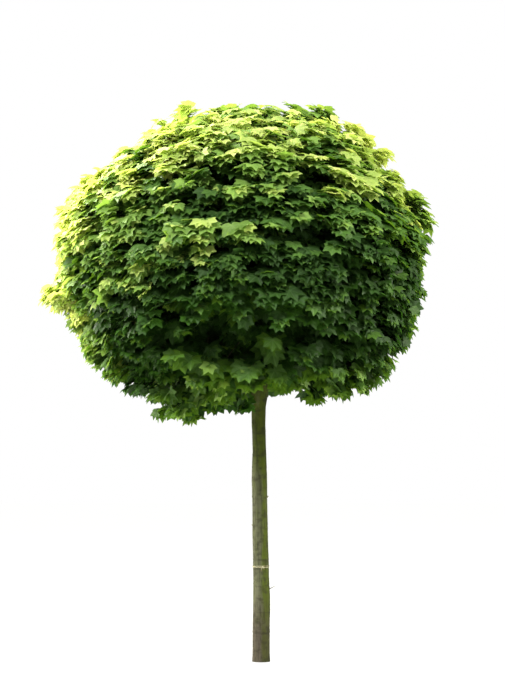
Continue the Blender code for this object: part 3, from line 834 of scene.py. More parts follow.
# %% [markdown]
# ## Stubs and a turn of twine
# A dead side shoot stands on the right of the stem, a nub is left on either side higher up, and a
# gardener's twine is knotted round the stem at thigh height. The twine could be a curve with a bevel, but
# two turns round a stem are two rings, so they are tori, tilted a little. Its knot is two small, tight ones,
# and its two ends hang down from it. The dead wood is bent from the same straight limb as the branches.

# %% Stubs
STUBS = (
    # height, azimuth, length, radius
    (0.590, 80, 0.055, 0.0030),
    (1.345, 82, 0.008, 0.0075),
    (1.110, -80, 0.007, 0.0050),
)
STUB_RISE, STUB_CURL = 25, 0.003  # degrees that a stub points up by, and how far its tip bends up
STUB_SUNK = 0.006
STUB_TAPER = (1.5, 1.0, 0.75)
STUB_SIDES = 8


def stem_at(height):
    """The trunk's axis and radius at this height."""
    axis = np.array([np.interp(height, heights, leans), 0.0, height])
    return axis, np.interp(height, heights, diameters / 2)


stub_lines = []
for height, azimuth, length, _ in STUBS:
    axis, stem_radius = stem_at(height)
    out = heading(azimuth, STUB_RISE)
    foot = axis + heading(azimuth, 0) * (stem_radius - STUB_SUNK)
    halfway, tip = foot + out * (length / 2 + STUB_SUNK), foot + out * (length + STUB_SUNK) + UP * STUB_CURL
    stub_lines.append([foot, halfway, tip])
stub_radii = [[thick * share for share in STUB_TAPER] for _, _, _, thick in STUBS]
stubs = along_lines("stubs", stub_lines, stub_radii, STUB_SIDES)
dead_finish = bark_material(
    "dead_wood", (0.36, 0.36, 0.29), (0.20, 0.22, 0.11), (0.10, 0.09, 0.06), 0.8, 0.4,
    (-2, 2, 2, 3, 0.0, 0.3),
)
finish_piece(stubs, "dead_stubs", dead_finish, ["trunk"])
print(len(STUBS), "stubs")

# %% Twine
TWINE_HEIGHT, TWINE_RADIUS = 0.772, 0.0022
TWINE_TURNS = ((0.0, 2.5), (0.006, -2.0))  # how much higher each turn is, and its tilt in degrees
KNOT_AZIMUTH, KNOT_PROUD = 12, 0.004
KNOT_LOOP, KNOT_STRAND = 0.0042, 0.0026
KNOT_TURNS = (0, 70)
TWINE_ENDS = ((-1, 0.030), (1, 0.022))  # the side that each end hangs on, and how far it hangs
END_RADII = (0.0018, 0.0018, 0.0022)
STRAND_SIDES = 8


def ring_of_twine(place, loop, strand, around, degrees):
    """A torus with so many segments around, turned by degrees about X, Y and Z."""
    bpy.ops.object.select_all(action="DESELECT")
    bpy.ops.mesh.primitive_torus_add(
        major_radius=loop, minor_radius=strand, major_segments=around, minor_segments=STRAND_SIDES,
        location=tuple(place), rotation=tuple(math.radians(angle) for angle in degrees),
    )
    bpy.ops.object.transform_apply(location=True, rotation=True)
    return bpy.context.object


twine_parts = []
for lift, tilt in TWINE_TURNS:
    axis, stem_radius = stem_at(TWINE_HEIGHT + lift)
    loop = stem_radius + TWINE_RADIUS
    twine_parts.append(ring_of_twine(axis, loop, TWINE_RADIUS, 64, (tilt, tilt * 0.7, 0)))
axis, stem_radius = stem_at(TWINE_HEIGHT)
knot_place = axis + heading(KNOT_AZIMUTH, 0) * (stem_radius + KNOT_PROUD)
for turn in KNOT_TURNS:
    twine_parts.append(ring_of_twine(knot_place, KNOT_LOOP, KNOT_STRAND, 16, (80, turn, KNOT_AZIMUTH)))
ends = []
for side, drop in TWINE_ENDS:
    foot = knot_place + (side * 0.003, 0, -0.002)
    ends.append([foot, foot + (side * 0.007, -0.003, -drop * 0.4), foot + (side * 0.008, 0.0005, -drop)])
twine_parts.append(along_lines("twine_ends", ends, [END_RADII] * len(ends), STRAND_SIDES))
bpy.ops.object.select_all(action="DESELECT")
for part in twine_parts:
    part.select_set(True)
bpy.context.view_layer.objects.active = twine_parts[0]
bpy.ops.object.join()
twine = bpy.context.object
twine.data.shade_smooth()
print("Twine at", TWINE_HEIGHT, "m, with", len(twine.data.polygons), "faces")

# %% The twine's finish
TWINE_BROWN, TWINE_STRAW, TWINE_DARK = (0.15, 0.10, 0.025), (0.42, 0.40, 0.25), (0.08, 0.06, 0.02)

twine_finish = bpy.data.materials.new("garden_twine")
twine_finish.use_nodes = True
tree = twine_finish.node_tree
fibre = tree.nodes["Principled BSDF"]
fibre.inputs["Roughness"].default_value = 0.9
where = tree.nodes.new("ShaderNodeTexCoord").outputs["Object"]
worn = noise_on(tree, where, (1, 1, 1), 28, 2)
strands = noise_on(tree, where, (1, 1, 6), 240, 2)
colour = blend_colours(tree, ramp(tree, worn, 0.42, 0.62), TWINE_BROWN, TWINE_STRAW)
colour = blend_colours(tree, ramp(tree, strands, 0.35, 0.5, 0.5, 0), colour, TWINE_DARK)
tree.links.new(colour, fibre.inputs["Base Color"])
relief_node = put(tree, "ShaderNodeBump", Strength=0.8, Distance=0.001)
tree.links.new(strands, relief_node.inputs["Height"])
tree.links.new(relief_node.outputs["Normal"], fibre.inputs["Normal"])
finish_piece(twine, "garden_twine", twine_finish, ["trunk"])
print("The twine's finish has", len(tree.nodes), "nodes")

# %% [markdown]
# ## Boughs
# Twenty boughs leave the knuckle or fork from the ones round the middle, and each heads for its own mass.
# The plain boughs could be kept and only smoothed, but they are seen through gaps between the leaves. So
# these follow the same bends with more points, a rounder section and small swellings where buds once were.

# %% Boughs
KNUCKLE_X = -0.018
SPRING = {"top": (2.40, 0.0), "upper": (2.39, 0.045), "middle": (2.27, 0.03)}  # height, and off the axis
BOUGH_END = 0.62  # where a bough ends, as a share of the way to the outline
BOUGH_RADII = {
    "top": (0.024, 0.014), "upper": (0.021, 0.012), "middle": (0.025, 0.013), "lower": (0.016, 0.010)
}
FORK_SHARE = 0.34  # a lower bough forks off this far along the one that carries it
PULL_SHARE, FORK_LIFT, SPRING_OUT = 0.45, 0.10, 0.12  # what draws a bough into its bend
SWELLINGS = 0.05
BOUGH_POINTS, BOUGH_SIDES = 25, 10


def bough_line(i):
    """The bend that bough i follows, from inside what carries it to the middle of its mass."""
    mass, toward = masses[i], TOWARD[i]
    end = HEAD_CENTRE + toward * reach(toward[None], np.array([i]))[0] * BOUGH_END
    level = toward * [1, 1, 0]
    if mass["ring"] == "lower":
        middles = [j for j, other in enumerate(masses) if other["ring"] == "middle"]
        carrier = min(middles, key=lambda j: abs((masses[j]["azimuth"] - mass["azimuth"] + 180) % 360 - 180))
        line = bough_line(carrier)
        start = line[round(FORK_SHARE * (BOUGH_POINTS - 1))]
        pull = start + (end - start) * PULL_SHARE + UP * FORK_LIFT
    else:
        height, off_axis = SPRING[mass["ring"]]
        start = np.array([KNUCKLE_X, 0, height]) + level * off_axis
        pull = start + (end - start) * PULL_SHARE + level * SPRING_OUT
    return bend(start[None], pull[None], end[None], BOUGH_POINTS)[0]


bough_lines = np.array([bough_line(i) for i in range(len(masses))])
first, last = np.array([BOUGH_RADII[mass["ring"]] for mass in masses]).T
t = np.linspace(0, 1, BOUGH_POINTS)
bough_radii = first[:, None] * (1 - t) + last[:, None] * t
bough_radii *= 1 + rng.uniform(-SWELLINGS, SWELLINGS, bough_radii.shape)
boughs = along_lines("boughs", bough_lines, bough_radii, BOUGH_SIDES)
bough_nodes = [f"bough_{mass['name']}" for mass in masses]
finish_piece(boughs, "bough_bark", bough_finish, bough_nodes)
print("Boughs from", round(bough_radii.max() * 2000), "to", round(bough_radii.min() * 2000), "mm thick")

# %% [markdown]
# ## Branches and shoots
# Each mass ends in sprays: bundles of leafy shoots that share one root. Sprays strewn at random would
# leave holes and clumps, so a spiral of directions covers the globe evenly, and it is thinned until the
# sprays are a set distance apart. A height counts more than a width in that distance, so they stand
# closer above each other than side by side: low, wide tiers, each with a dark gap under its leaves.
# Some places stand out, and some are hollow and lie in shade, because a head that is even all round
# looks clipped.

# %% Where the sprays stand
SPRAY_PLACES, OUTER_SHAKE, INNER_SHAKE = 3400, 0.015, 0.02
SPRAY_SPACING = 0.36  # the least distance between two outer sprays, side by side
TIER_SQUEEZE = 1.9  # how much more a height counts than a width
INNER_SPACING, INNER_SQUEEZE = 0.46, 1.4
# Places where the head stands out, each with a spray of its own.
BULGES = (
    # azimuth, elevation, degrees across, share of the outline's reach
    (-90, -11, 3, 0.035),
    (-90, 65, 5, 0.076),
    (90, 62, 7, 0.066),
    (90, 44, 5, 0.030),
    (90, 15, 6, 0.036),
    (90, -25, 5, 0.022),
    (90, -40, 8, 0.028),
    (-90, 21, 9, 0.050),
    (-88, -30, 5, 0.002),
    (-85, -48, 5, 0.002),
    (-60, -61, 8, 0.012),
    (44, -56, 5, 0.001),
    (66, -55, 7, 0.075),
    (-26, -17, 8, 0.030),
    (-4, -18, 8, 0.030),
    (17, -18, 8, 0.030),
    (-10, -49, 8, 0.060),
    (16, -48, 8, 0.020),
)


def spiral(count, shake):
    """Directions spread evenly round a ball along one long spiral, each shaken a little."""
    steps = np.arange(count)
    rise = 1 - (2 * steps + 1) / count
    level, turn = np.sqrt(1 - rise * rise), steps * math.pi * (3 - math.sqrt(5))
    rows = np.stack([level * np.cos(turn), level * np.sin(turn), rise], axis=1)
    return unit(rows + rng.normal(0, shake, rows.shape))


def thinned(directions, spacing, squeeze):
    """Keeps the directions whose places on the outline are at least the spacing apart."""
    spots = directions * head_reach(directions)[:, None] * [1, 1, squeeze]
    kept = [0]
    for i in range(1, len(spots)):
        if np.min(np.linalg.norm(spots[kept] - spots[i], axis=1)) > spacing:
            kept.append(i)
    return directions[kept]


standing_out = [heading(azimuth, elevation) for azimuth, elevation, _, _ in BULGES]
outer = thinned(np.vstack([standing_out, spiral(SPRAY_PLACES, OUTER_SHAKE)]), SPRAY_SPACING, TIER_SQUEEZE)
inner = thinned(spiral(SPRAY_PLACES, INNER_SHAKE), INNER_SPACING, INNER_SQUEEZE)
print(len(outer), "outer sprays and", len(inner), "inner ones")

# %% Hollows in the head
HOLLOWS = (
    # azimuth, elevation, degrees across, how much less the sprays reach, as a share
    (-28, -32, 12, 0.24),
    (-8, -33, 12, 0.28),
    (14, -32, 10, 0.22),
    (12, -4, 9, 0.09),
    (38, -31, 11, 0.06),
    (-62, -24, 12, 0.07),
    (24, -60, 11, 0.14),
    (62, -70, 12, 0.13),
    (150, -58, 16, 0.18),
    (172, -47, 9, 0.05),
    (0, -80, 16, 0.07),
    (0, 90, 16, 0.030),
    (-90, 43, 7, 0.030),
    (-50, 46, 4, 0.020),
    (-52, 35, 5, 0.045),
    (-90, 53, 4, 0.030),
    (-90, 75, 5, 0.035),
    (-90, -4, 3, 0.020),
    (-88, -24, 4, 0.060),
    (-74, -27, 5, 0.040),
    (101, -4, 5, 0.035),
    (73, -12, 5, 0.030),
    (84, -18, 4, 0.015),
    (90, 52, 4, 0.030),
    (90, 37, 4, 0.025),
    (90, 25, 5, 0.060),
    (90, -3, 8, 0.080),
    (90, 75, 5, 0.045),
    (90, 67, 3, 0.020),
    (100, -71, 12, 0.110),
    (-111, -67, 10, 0.050),
    (-70, -74, 8, 0.080),
    (90, -31, 5, 0.100),
    (-90, -26, 5, 0.040),
    (-85, -48, 5, 0.040),
    (-88, -30, 3, 0.020),
    (-98, -38, 5, 0.025),
    (-77, -37, 5, 0.025),
    (76, -55, 5, 0.020),
    (-115, -47, 6, 0.030),
    (-103, -58, 6, 0.050),
    (-21, -72, 6, 0.015),
    (-158, -60, 6, 0.050),
    (-31, -58, 5, 0.070),
    (42, -57, 6, 0.055),
    (75, -30, 5, 0.050),
    (105, -30, 5, 0.050),
    (78, 36, 4, 0.030),
    (90, 5, 5, 0.020),
    (-60, -50, 6, 0.030),
    (118, -32, 16, 0.09),
    (165, -28, 14, 0.09),
    (-150, -30, 16, 0.09),
    (-112, -22, 12, 0.07),
    (150, 6, 9, 0.08),
    (-35, 22, 9, 0.06),
    (60, 15, 9, 0.06),
)
print(len(HOLLOWS), "hollows")

# %% Each spray's root, outward direction and length
OUTER_DEPTH = 0.30  # from a spray's root to the outline
INNER_DEPTH, INNER_STRAY = 0.34, (0.7, 1.5)  # how far the inner sprays lie under the outer ones
LEVEL_SHARE = 0.985  # leaf tips stop short of the plain outline at the sides, where its coarse leaves do too
RAGGED = (0.955, 1.008)  # most sprays end at this share of the outline's reach
SET_BACK, SET_BACK_SHARE = (0.87, 0.94), 0.22  # and this share of them further in, where they lie in shade
FULL_SHADE = 0.20  # a hollow this deep has a shade of 1
UNDER_FROM = 0.8  # how far down the outline's normal points where shoots no longer follow it at all
UNDER_OUT, UNDER_DOWN = 0.8, 0.6  # there they grow this much outwards and this much down
SINK_UNDER = 0.04

spray_way = np.vstack([outer, inner])
is_outer = np.arange(len(spray_way)) < len(outer)
owner = mass_of(spray_way)
ends_at = np.where(is_outer, rng.uniform(*RAGGED, len(spray_way)), 1.0)
set_back = is_outer & (rng.random(len(spray_way)) < SET_BACK_SHARE)
stands_out = np.arange(len(spray_way)) < len(BULGES)
set_back &= ~stands_out
ends_at = np.where(set_back, rng.uniform(*SET_BACK, len(spray_way)), np.where(stands_out, 1.0, ends_at))
shade = np.zeros(len(spray_way))
for azimuth, elevation, width, less in HOLLOWS:
    inside = near(spray_way, azimuth, elevation, width)
    ends_at = ends_at - less * inside
    shade = np.maximum(shade, inside * np.sqrt(less / FULL_SHADE))
for azimuth, elevation, width, more in BULGES:
    ends_at = ends_at + more * near(spray_way, azimuth, elevation, width)
ends_at = ends_at * (LEVEL_SHARE + (1 - LEVEL_SHARE) * spray_way[:, 2] ** 2)
normal = outward(spray_way)
surface = HEAD_CENTRE + spray_way * (reach(spray_way, owner) * ends_at)[:, None] + sag_at(spray_way, owner)
sunk = np.where(is_outer, 0.0, INNER_DEPTH * rng.uniform(*INNER_STRAY, len(spray_way)))
tip_middle = surface - normal * sunk[:, None]
# Under the head the shoots grow outwards and hang, so they don't point straight at the ground.
underside = np.clip(-normal[:, 2:] / UNDER_FROM, 0, 1)
level_out = unit(spray_way * [1, 1, 0] + 1e-6)
grow = unit(normal * (1 - underside) + (level_out * UNDER_OUT - UP * UNDER_DOWN) * underside)
root = tip_middle - grow * OUTER_DEPTH - normal * SINK_UNDER * underside
print("Roots lie from", round(root[:, 2].min(), 2), "to", round(root[:, 2].max(), 2), "m high")

# %% Branches from the boughs to the spray roots
BRANCH_POINTS, BRANCH_SIDES = 6, 5
BRANCH_RADII = (0.0085, 0.0038)
BRANCH_PULL = 0.4  # the share of a branch's length over which it turns to run straight into its spray
THICK_LENGTH, THICKNESSES = 0.6, (0.55, 1.15)  # at this length it has the radii above, and a share otherwise
BRANCHES_LEAVE_AT = (0.45, 0.6, 0.75, 0.88, 1.0)  # shares of a bough's length; each takes the nearest

stations = np.round(np.array(BRANCHES_LEAVE_AT) * (BOUGH_POINTS - 1)).astype(int)
choices = bough_lines[owner][:, stations]
span = np.linalg.norm(choices - root[:, None], axis=2)
pick = np.argmin(span, axis=1)
start = choices[np.arange(len(root)), pick]
run = span[np.arange(len(root)), pick][:, None]
branch_lines = bend(start, root - grow * BRANCH_PULL * run, root, BRANCH_POINTS)
t = np.linspace(0, 1, BRANCH_POINTS)
thick = np.clip(run / THICK_LENGTH, *THICKNESSES)
branch_radii = (BRANCH_RADII[0] * (1 - t) + BRANCH_RADII[1] * t) * thick
branches = along_lines("branches", branch_lines, branch_radii, BRANCH_SIDES)
mass_nodes = [f"foliage_{mass['name']}" for mass in masses]
finish_piece(branches, "branches", bough_finish, mass_nodes)
print("Branches up to", round(float(run.max()), 2), "m long")

# %% Which way the shoots of every spray grow
SHOOTS_OUTER, SHOOTS_INNER = 6, 4
FAN = 56  # degrees that the outer shoots of a spray stand off its middle one
FAN_MIDDLE, FAN_STRAY = 0.15, (0.55, 1.1)  # the middle shoot's share of that, and the others'
TURN_STRAY, TURN_BY_SPRAY = 0.06, 2.4  # how unevenly they stand round it, and how far each spray is turned
FLATNESS = 0.14  # how much of that fan is left upright on the sides of the head
LIFT = 0.22  # shoots rise this much before they droop
LENGTH_STRAY = (0.88, 1.08)
LEAST_COSINE = 0.62  # a shoot that leans out is longer, but as if it leant no more than this
UPRIGHT = 0.15  # a spray this near to upright takes its sideways from the front

per_spray = np.where(is_outer, SHOOTS_OUTER, SHOOTS_INNER)
of_spray = np.repeat(np.arange(len(root)), per_spray)
in_spray = np.concatenate([np.arange(count) for count in per_spray])
shoots = len(of_spray)
g = grow[of_spray]
side = np.cross(UP, g)
level_enough = np.linalg.norm(side, axis=1, keepdims=True) > UPRIGHT
side = unit(np.where(level_enough, side, np.cross([0.0, 1.0, 0.0], g)))
rise = np.cross(g, side)
fan = np.radians(FAN) * np.where(in_spray == 0, FAN_MIDDLE, rng.uniform(*FAN_STRAY, shoots))[:, None]
turn = 2 * math.pi * (in_spray / per_spray[of_spray] + rng.uniform(-TURN_STRAY, TURN_STRAY, shoots))
turn = (turn + of_spray * TURN_BY_SPRAY)[:, None]
steep = 1 - np.abs(g[:, 2:])
flat = FLATNESS + (1 - FLATNESS) * np.abs(g[:, 2:])
fanned = (side * np.cos(turn) + rise * np.sin(turn) * flat) * np.sin(fan)
way = unit(g * np.cos(fan) + fanned + rise * LIFT * steep)
lean = np.maximum(np.sum(way * g, axis=1), LEAST_COSINE)
length = (OUTER_DEPTH / lean * rng.uniform(*LENGTH_STRAY, shoots))[:, None]
print(shoots, "shoots from", round(length.min(), 2), "to", round(length.max(), 2), "m long")

# %% The shoots' bends
SHOOT_POINTS, SHOOT_SIDES = 5, 4
SHOOT_RADII = (0.0036, 0.0014)
SHOOT_LIMIT = 0.955  # the share of the way out at which a shoot has to end
SHOOT_DROOP, SHOOT_ARCH = 0.05, 0.03  # a level shoot's tip hangs, and its middle arches up


def pulled_in(points, spray, share):
    """Moves the points that lie beyond their spray's share of the outline back towards the middle."""
    off = points - HEAD_CENTRE - sag_at(spray_way[spray], owner[spray])
    far = np.linalg.norm(off, axis=1)
    allowed = reach(off / far[:, None], owner[spray]) * ends_at[spray] * share
    return points - spray_way[spray] * np.maximum(0, far - allowed)[:, None]


shoot_start = root[of_spray]
shoot_end = pulled_in(shoot_start + way * length - UP * SHOOT_DROOP * steep, of_spray, SHOOT_LIMIT)
shoot_pull = shoot_start + way * length * 0.5 + UP * SHOOT_ARCH * steep
shoot_lines = bend(shoot_start, shoot_pull, shoot_end, SHOOT_POINTS)
t = np.linspace(0, 1, SHOOT_POINTS)
shoot_radii = np.tile(SHOOT_RADII[0] * (1 - t) + SHOOT_RADII[1] * t, (shoots, 1))
twigs = along_lines("shoots", shoot_lines, shoot_radii, SHOOT_SIDES)
finish_piece(twigs, "shoots", twig_finish, mass_nodes)
print("The shoots have", len(twigs.data.polygons), "triangles")

# %% [markdown]
# ## One leaf
# The leaf has five pointed lobes with a deep dip between each two, and is about as wide as a hand.
# A flat card with a picture on it would be lighter, but a card has no outline of its own and looks wrong
# from the side. So one leaf is modelled as a fan of 28 triangles: a filled circle whose rim is pulled
# in and out, half a leaf in the table, the other half mirrored. Its origin is where the stalk joins.

# %% The leaf's outline
# How far the rim is from the stalk, from the middle lobe's tip round to the stalk.
LEAF_RIM = (1.00, 0.80, 0.68, 0.82, 1.00, 0.80, 0.67, 0.72, 0.82, 0.62, 0.50, 0.42, 0.34, 0.22, 0.12)
LEAF_LENGTH = 0.096  # from the stalk to the middle lobe's tip

rim = np.array(LEAF_RIM + LEAF_RIM[-2:0:-1])
bpy.ops.object.select_all(action="DESELECT")
bpy.ops.mesh.primitive_circle_add(vertices=len(rim), radius=1, fill_type="TRIFAN")
one_leaf = bpy.context.object
for corner in one_leaf.data.vertices:
    if corner.co.length > 0.5:  # the rim's corners, not the middle one
        number = round(math.atan2(corner.co.y, corner.co.x) / (2 * math.pi / len(rim))) % len(rim)
        corner.co = corner.co.normalized() * rim[number]
bpy.ops.object.mode_set(mode="EDIT")
bpy.ops.mesh.select_all(action="SELECT")
bpy.ops.mesh.normals_make_consistent(inside=False)
bpy.ops.object.mode_set(mode="OBJECT")
if one_leaf.data.polygons[0].normal.z < 0:
    one_leaf.data.flip_normals()
leaf_corners = np.array([corner.co for corner in one_leaf.data.vertices])
leaf_faces = np.array([face.vertices for face in one_leaf.data.polygons])
bpy.data.objects.remove(one_leaf)
width = np.ptp(leaf_corners[:, 1]) * LEAF_LENGTH
print("One leaf is", round(width * 100, 1), "cm wide and has", len(leaf_faces), "triangles")

# %% [markdown]
# ## Leaves on the shoots
# Leaves stand in pairs along a shoot, each pair turned from the one before, with one more leaf at the tip.
# A particle system could strew leaves over a surface, but they would float. Here each blade hangs on a
# stalk that leads out of its own shoot. It turns its face to the light and lets its tip hang: on top of
# the head the blades lie nearly level, and at the sides they overlap like tiles.

# %% Nodes along the shoots
NODES = np.array([0.26, 0.46, 0.64, 0.80, 0.93])
NODE_TILT = 0.05
PAIR_TURN, PAIR_FROM, PAIR_STRAY = 50, 8, 0.35  # degrees, degrees and radians
STALK_LENGTH = (0.045, 0.090)
STALK_SHORTER = 0.45  # at the tip of a shoot, as a share of that at its foot
ALONG, AT_TIP, ASIDE, ASIDE_AT_TIP, STALK_RISE = 0.55, 1.0, 0.85, 0.15, 0.30  # which way a stalk leads
STALK_SAG = 0.12

pairs = np.repeat(NODES, 2)
at = np.concatenate([pairs, [1.0]])
spots = len(at)
t = at[None, :, None]
begin, pull, end = shoot_start[:, None], shoot_pull[:, None], shoot_end[:, None]
node_place = begin * (1 - t) ** 2 + pull * 2 * t * (1 - t) + end * t**2
along = unit((pull - begin) * (1 - t) + (end - pull) * t)
aside = unit(np.cross(along, UP + rng.normal(0, NODE_TILT, along.shape)))
over = np.cross(aside, along)
odd_pair = np.arange(spots) // 2 % 2
turned = (odd_pair * PAIR_TURN + PAIR_FROM) * math.pi / 180
turned = turned + rng.uniform(-PAIR_STRAY, PAIR_STRAY, (shoots, spots))
opposite = np.where(np.arange(spots) % 2, 1.0, -1.0)[None, :, None]
spread = (aside * np.cos(turned)[..., None] + over * np.sin(turned)[..., None]) * opposite
at_tip = (at == 1.0)[None, :, None]
forward, outward_too = np.where(at_tip, AT_TIP, ALONG), np.where(at_tip, ASIDE_AT_TIP, ASIDE)
stalk_way = unit(along * forward + spread * outward_too + UP * STALK_RISE)
stalk = rng.uniform(*STALK_LENGTH, (shoots, spots, 1)) * (1 - (1 - STALK_SHORTER) * t)
junction = node_place + stalk_way * stalk - UP * STALK_SAG * stalk
print(spots, "leaves to a shoot")

# %% Which way each blade faces and hangs
TILT_AT = (-0.6, 0.0, 0.6)  # heights of a direction, low to high, and there:
FACE_UP = (0.82, 0.92, 1.00)  # how much the blade faces up
FACE_OUT = (0.58, 0.54, 0.28)  # and how much it faces out
FLATTER_OUT = 0.2  # how much of the outline's slope is left in the way a blade faces out
WILD, WILD_HANG = 0.26, 0.25  # how much chance there is in which way a blade faces, and hangs
HANG = 0.6  # a blade hangs as much along its stalk as outwards and down
SIZES, TIP_SIZE, OTHER_SIZE = (0.80, 1.18), 0.85, 1.05  # the young leaves at a tip are smaller
TIP_FROM = 0.9  # leaves from this share of a shoot on are at its tip

spray_of_leaf = np.repeat(of_spray, spots)
junction, stalk_way = junction.reshape(-1, 3), stalk_way.reshape(-1, 3)
node_place, leaf_at = node_place.reshape(-1, 3), np.tile(at, shoots)
high = spray_way[spray_of_leaf, 2]
out = unit(normal[spray_of_leaf] * [1, 1, FLATTER_OUT])
face_up, face_out = np.interp(high, TILT_AT, FACE_UP)[:, None], np.interp(high, TILT_AT, FACE_OUT)[:, None]
face = unit(UP * face_up + out * face_out + rng.normal(0, WILD, out.shape))
hang = stalk_way * HANG + out * HANG - UP * HANG + rng.normal(0, WILD_HANG, out.shape)
ahead = unit(hang - face * np.sum(hang * face, axis=1, keepdims=True))
across = np.cross(face, ahead)
near_tip = leaf_at > TIP_FROM
size = LEAF_LENGTH * rng.uniform(*SIZES, (len(junction), 1))
size = size * np.where(near_tip, TIP_SIZE, OTHER_SIZE)[:, None]
print("Leaves are", round(size.min() * 100, 1), "to", round(size.max() * 100, 1), "cm long")

# %% Keeping to the outline
LEAF_LIMIT = 1.005  # as a share of the outline's reach
LOBE_TIPS = ((1.0, 0.0), (0.6, 0.76), (0.6, -0.76))  # the middle lobe and those beside it, ahead and across
TRUNK_CLEAR = 0.13  # no leaf grows this close to the stem or its knuckle
ROUNDS = 2  # pulling one lobe in can push another out, so all are seen to twice

for _ in range(ROUNDS):
    for ahead_share, side_share in LOBE_TIPS:
        tip = size * (ahead * ahead_share + across * side_share)
        junction = pulled_in(junction + tip, spray_of_leaf, LEAF_LIMIT) - tip
off_trunk = np.hypot(junction[:, 0] - KNUCKLE_X, junction[:, 1])
kept = ~((off_trunk < TRUNK_CLEAR) & (junction[:, 2] < STEM_TOP))
print(int(kept.sum()), "leaves")

# %% [markdown]
# ## Colours dealt out by spray
# Old leaves are deep green, and young ones at the top and in the sun are lime or gold. The colours stand in
# for light as well: sprays high up and in the sun get lighter ones, as painted sunlight, and sprays in
# hollows, set back or inside the head get darker ones, as painted shade. Every leaf could draw its own
# colour, but the head would be speckled. On the real tree a whole shoot is of one age, so every spray draws
# one colour, by how high and how sunny its place is, how deep in shade it lies, and by chance. Then the tips
# of its shoots are a step younger here and there, and the leaves at their feet a step older.

# %% Places where the leaves are young and lit: lighter colours, partly painted sunlight
# The rim of the head gets the sun all day, and the hem hangs in the open. Sprays there get lighter colours,
# partly for young leaves and partly as painted sunlight on the lit sides and the hem.
YOUNG_AND_SUNLIT_PLACES = (
    # azimuth, elevation, degrees across, how much lighter: partly younger, partly painted sunlight
    (-100, 20, 24, 0.50),
    (-100, -14, 20, 0.80),
    (-80, 48, 24, 0.40),
    (100, 46, 24, 0.55),
    (92, 16, 26, 0.62),
    (92, -12, 24, 0.62),
    (100, -38, 18, 0.50),
    (32, -54, 17, 0.42),
    (60, -48, 14, 0.40),
)
HEM_FRESH_AND_LIT, HEM_FROM, HEM_OVER = 0.60, -0.64, 0.15  # the underside gets lighter colours again below this height: partly fresh leaves, partly painted light on the lit hem
SUDDENLY_YOUNG, HOW_OFTEN, ONLY_ABOVE = 0.40, 0.13, 0.3  # a few high sprays are much younger
# The left side, which the sun strikes: how far to the front its middle is, how wide it is, where it starts.
SUNLIT_FRONT, SUNLIT_BAND, SUNLIT_ABOVE = 0.1, 0.34, -0.4

spray_x, spray_y, spray_z = spray_way.T
sudden = SUDDENLY_YOUNG * (rng.random(len(spray_way)) < HOW_OFTEN) * (spray_z > ONLY_ABOVE)
hem = HEM_FRESH_AND_LIT * np.clip((HEM_FROM - spray_z) / HEM_OVER, 0, 1)
favoured = sum(more * near(spray_way, *place) for *place, more in YOUNG_AND_SUNLIT_PLACES)
sunlit = np.exp(-(((spray_y + SUNLIT_FRONT) / SUNLIT_BAND) ** 2)) * (spray_x < 0) * (spray_z > SUNLIT_ABOVE)
print(int((sudden > 0).sum()), "sprays are suddenly young, and", int((sunlit > 0.5).sum()), "are sunlit")

# %% Dealing the colours
BY_HEIGHT, BY_SUN = 0.74, (-0.43, 0.10)  # higher and sunnier sprays get lighter colours, partly young leaves and partly painted sunlight; the sun comes from the left and a little from behind
MOST, MOST_SUNLIT = 0.54, 0.06  # the top would be all gold without a limit, a little higher in the sun
LUCK_AT, LUCK = (0.1, 0.9), (0.17, 0.29)  # a little luck at mid height and more at the top
STEADY = 0.8  # a spray in full sun has this much less luck
# Sprays in hollows, set back or inside the head get darker colours: painted shade.
PAINTED_SHADE_HOLLOWS, PAINTED_SHADE_SET_BACK, PAINTED_SHADE_INSIDE = 0.50, 0.15, 0.9
STEPS = (-0.22, 0.10, 0.28, 0.48)  # where one colour gives way to the next
# Low down near the trunk, colours stop at fresh, and for one spray in five at mid.
SHADY_BELOW, SHADY_WIDTH, OFTEN_FRESH = -0.3, 0.72, 0.80
YOUNG_TIPS, YOUNG_TIPS_BELOW = 0.55, 0.25  # how many tips are a step younger, above that height and below
OLD_FEET, FOOT_TO = 0.45, 0.5  # how many leaves are a step older, up to this share of a shoot

score = BY_HEIGHT * spray_z + spray_way[:, :2] @ BY_SUN + sudden + hem + favoured
luck = np.interp(spray_z, LUCK_AT, LUCK) * (1 - STEADY * sunlit)
score = np.minimum(score, MOST + MOST_SUNLIT * sunlit) + rng.normal(0, 1, len(spray_way)) * luck
# painted shade: darker colours for sprays in hollows, set back and inside the head
score -= PAINTED_SHADE_HOLLOWS * shade + PAINTED_SHADE_SET_BACK * set_back + np.where(is_outer, 0.0, PAINTED_SHADE_INSIDE)
spray_colour = np.searchsorted(STEPS, score)
shady = (spray_z < SHADY_BELOW) & (np.abs(spray_x) < SHADY_WIDTH)
shady_most = 1 + (rng.random(len(spray_way)) < OFTEN_FRESH)
spray_colour = np.where(shady, np.minimum(spray_colour, shady_most), spray_colour)
tips_young = np.where(high > SHADY_BELOW, YOUNG_TIPS, YOUNG_TIPS_BELOW)
younger = (near_tip & (rng.random(len(leaf_at)) < tips_young)).astype(int)
older = ((leaf_at < FOOT_TO) & (rng.random(len(leaf_at)) < OLD_FEET)).astype(int)
leaf_colour = np.clip(spray_colour[spray_of_leaf] + younger - older, 0, len(LEAF_KINDS) - 1)
for kind, name in enumerate(LEAF_KINDS):
    print(name, int(np.sum(leaf_colour[kept] == kind)))

# %% Bending every leaf
DROOP, FOLD, CURL = (0.06, 0.36), (-0.04, 0.26), 0.10
TIPS_FROM, TIPS_DROOP = 0.7, 0.25  # the lobes' tips droop more, from this share of the blade's length on
PIECE_MOST = 6900  # leaves to a piece

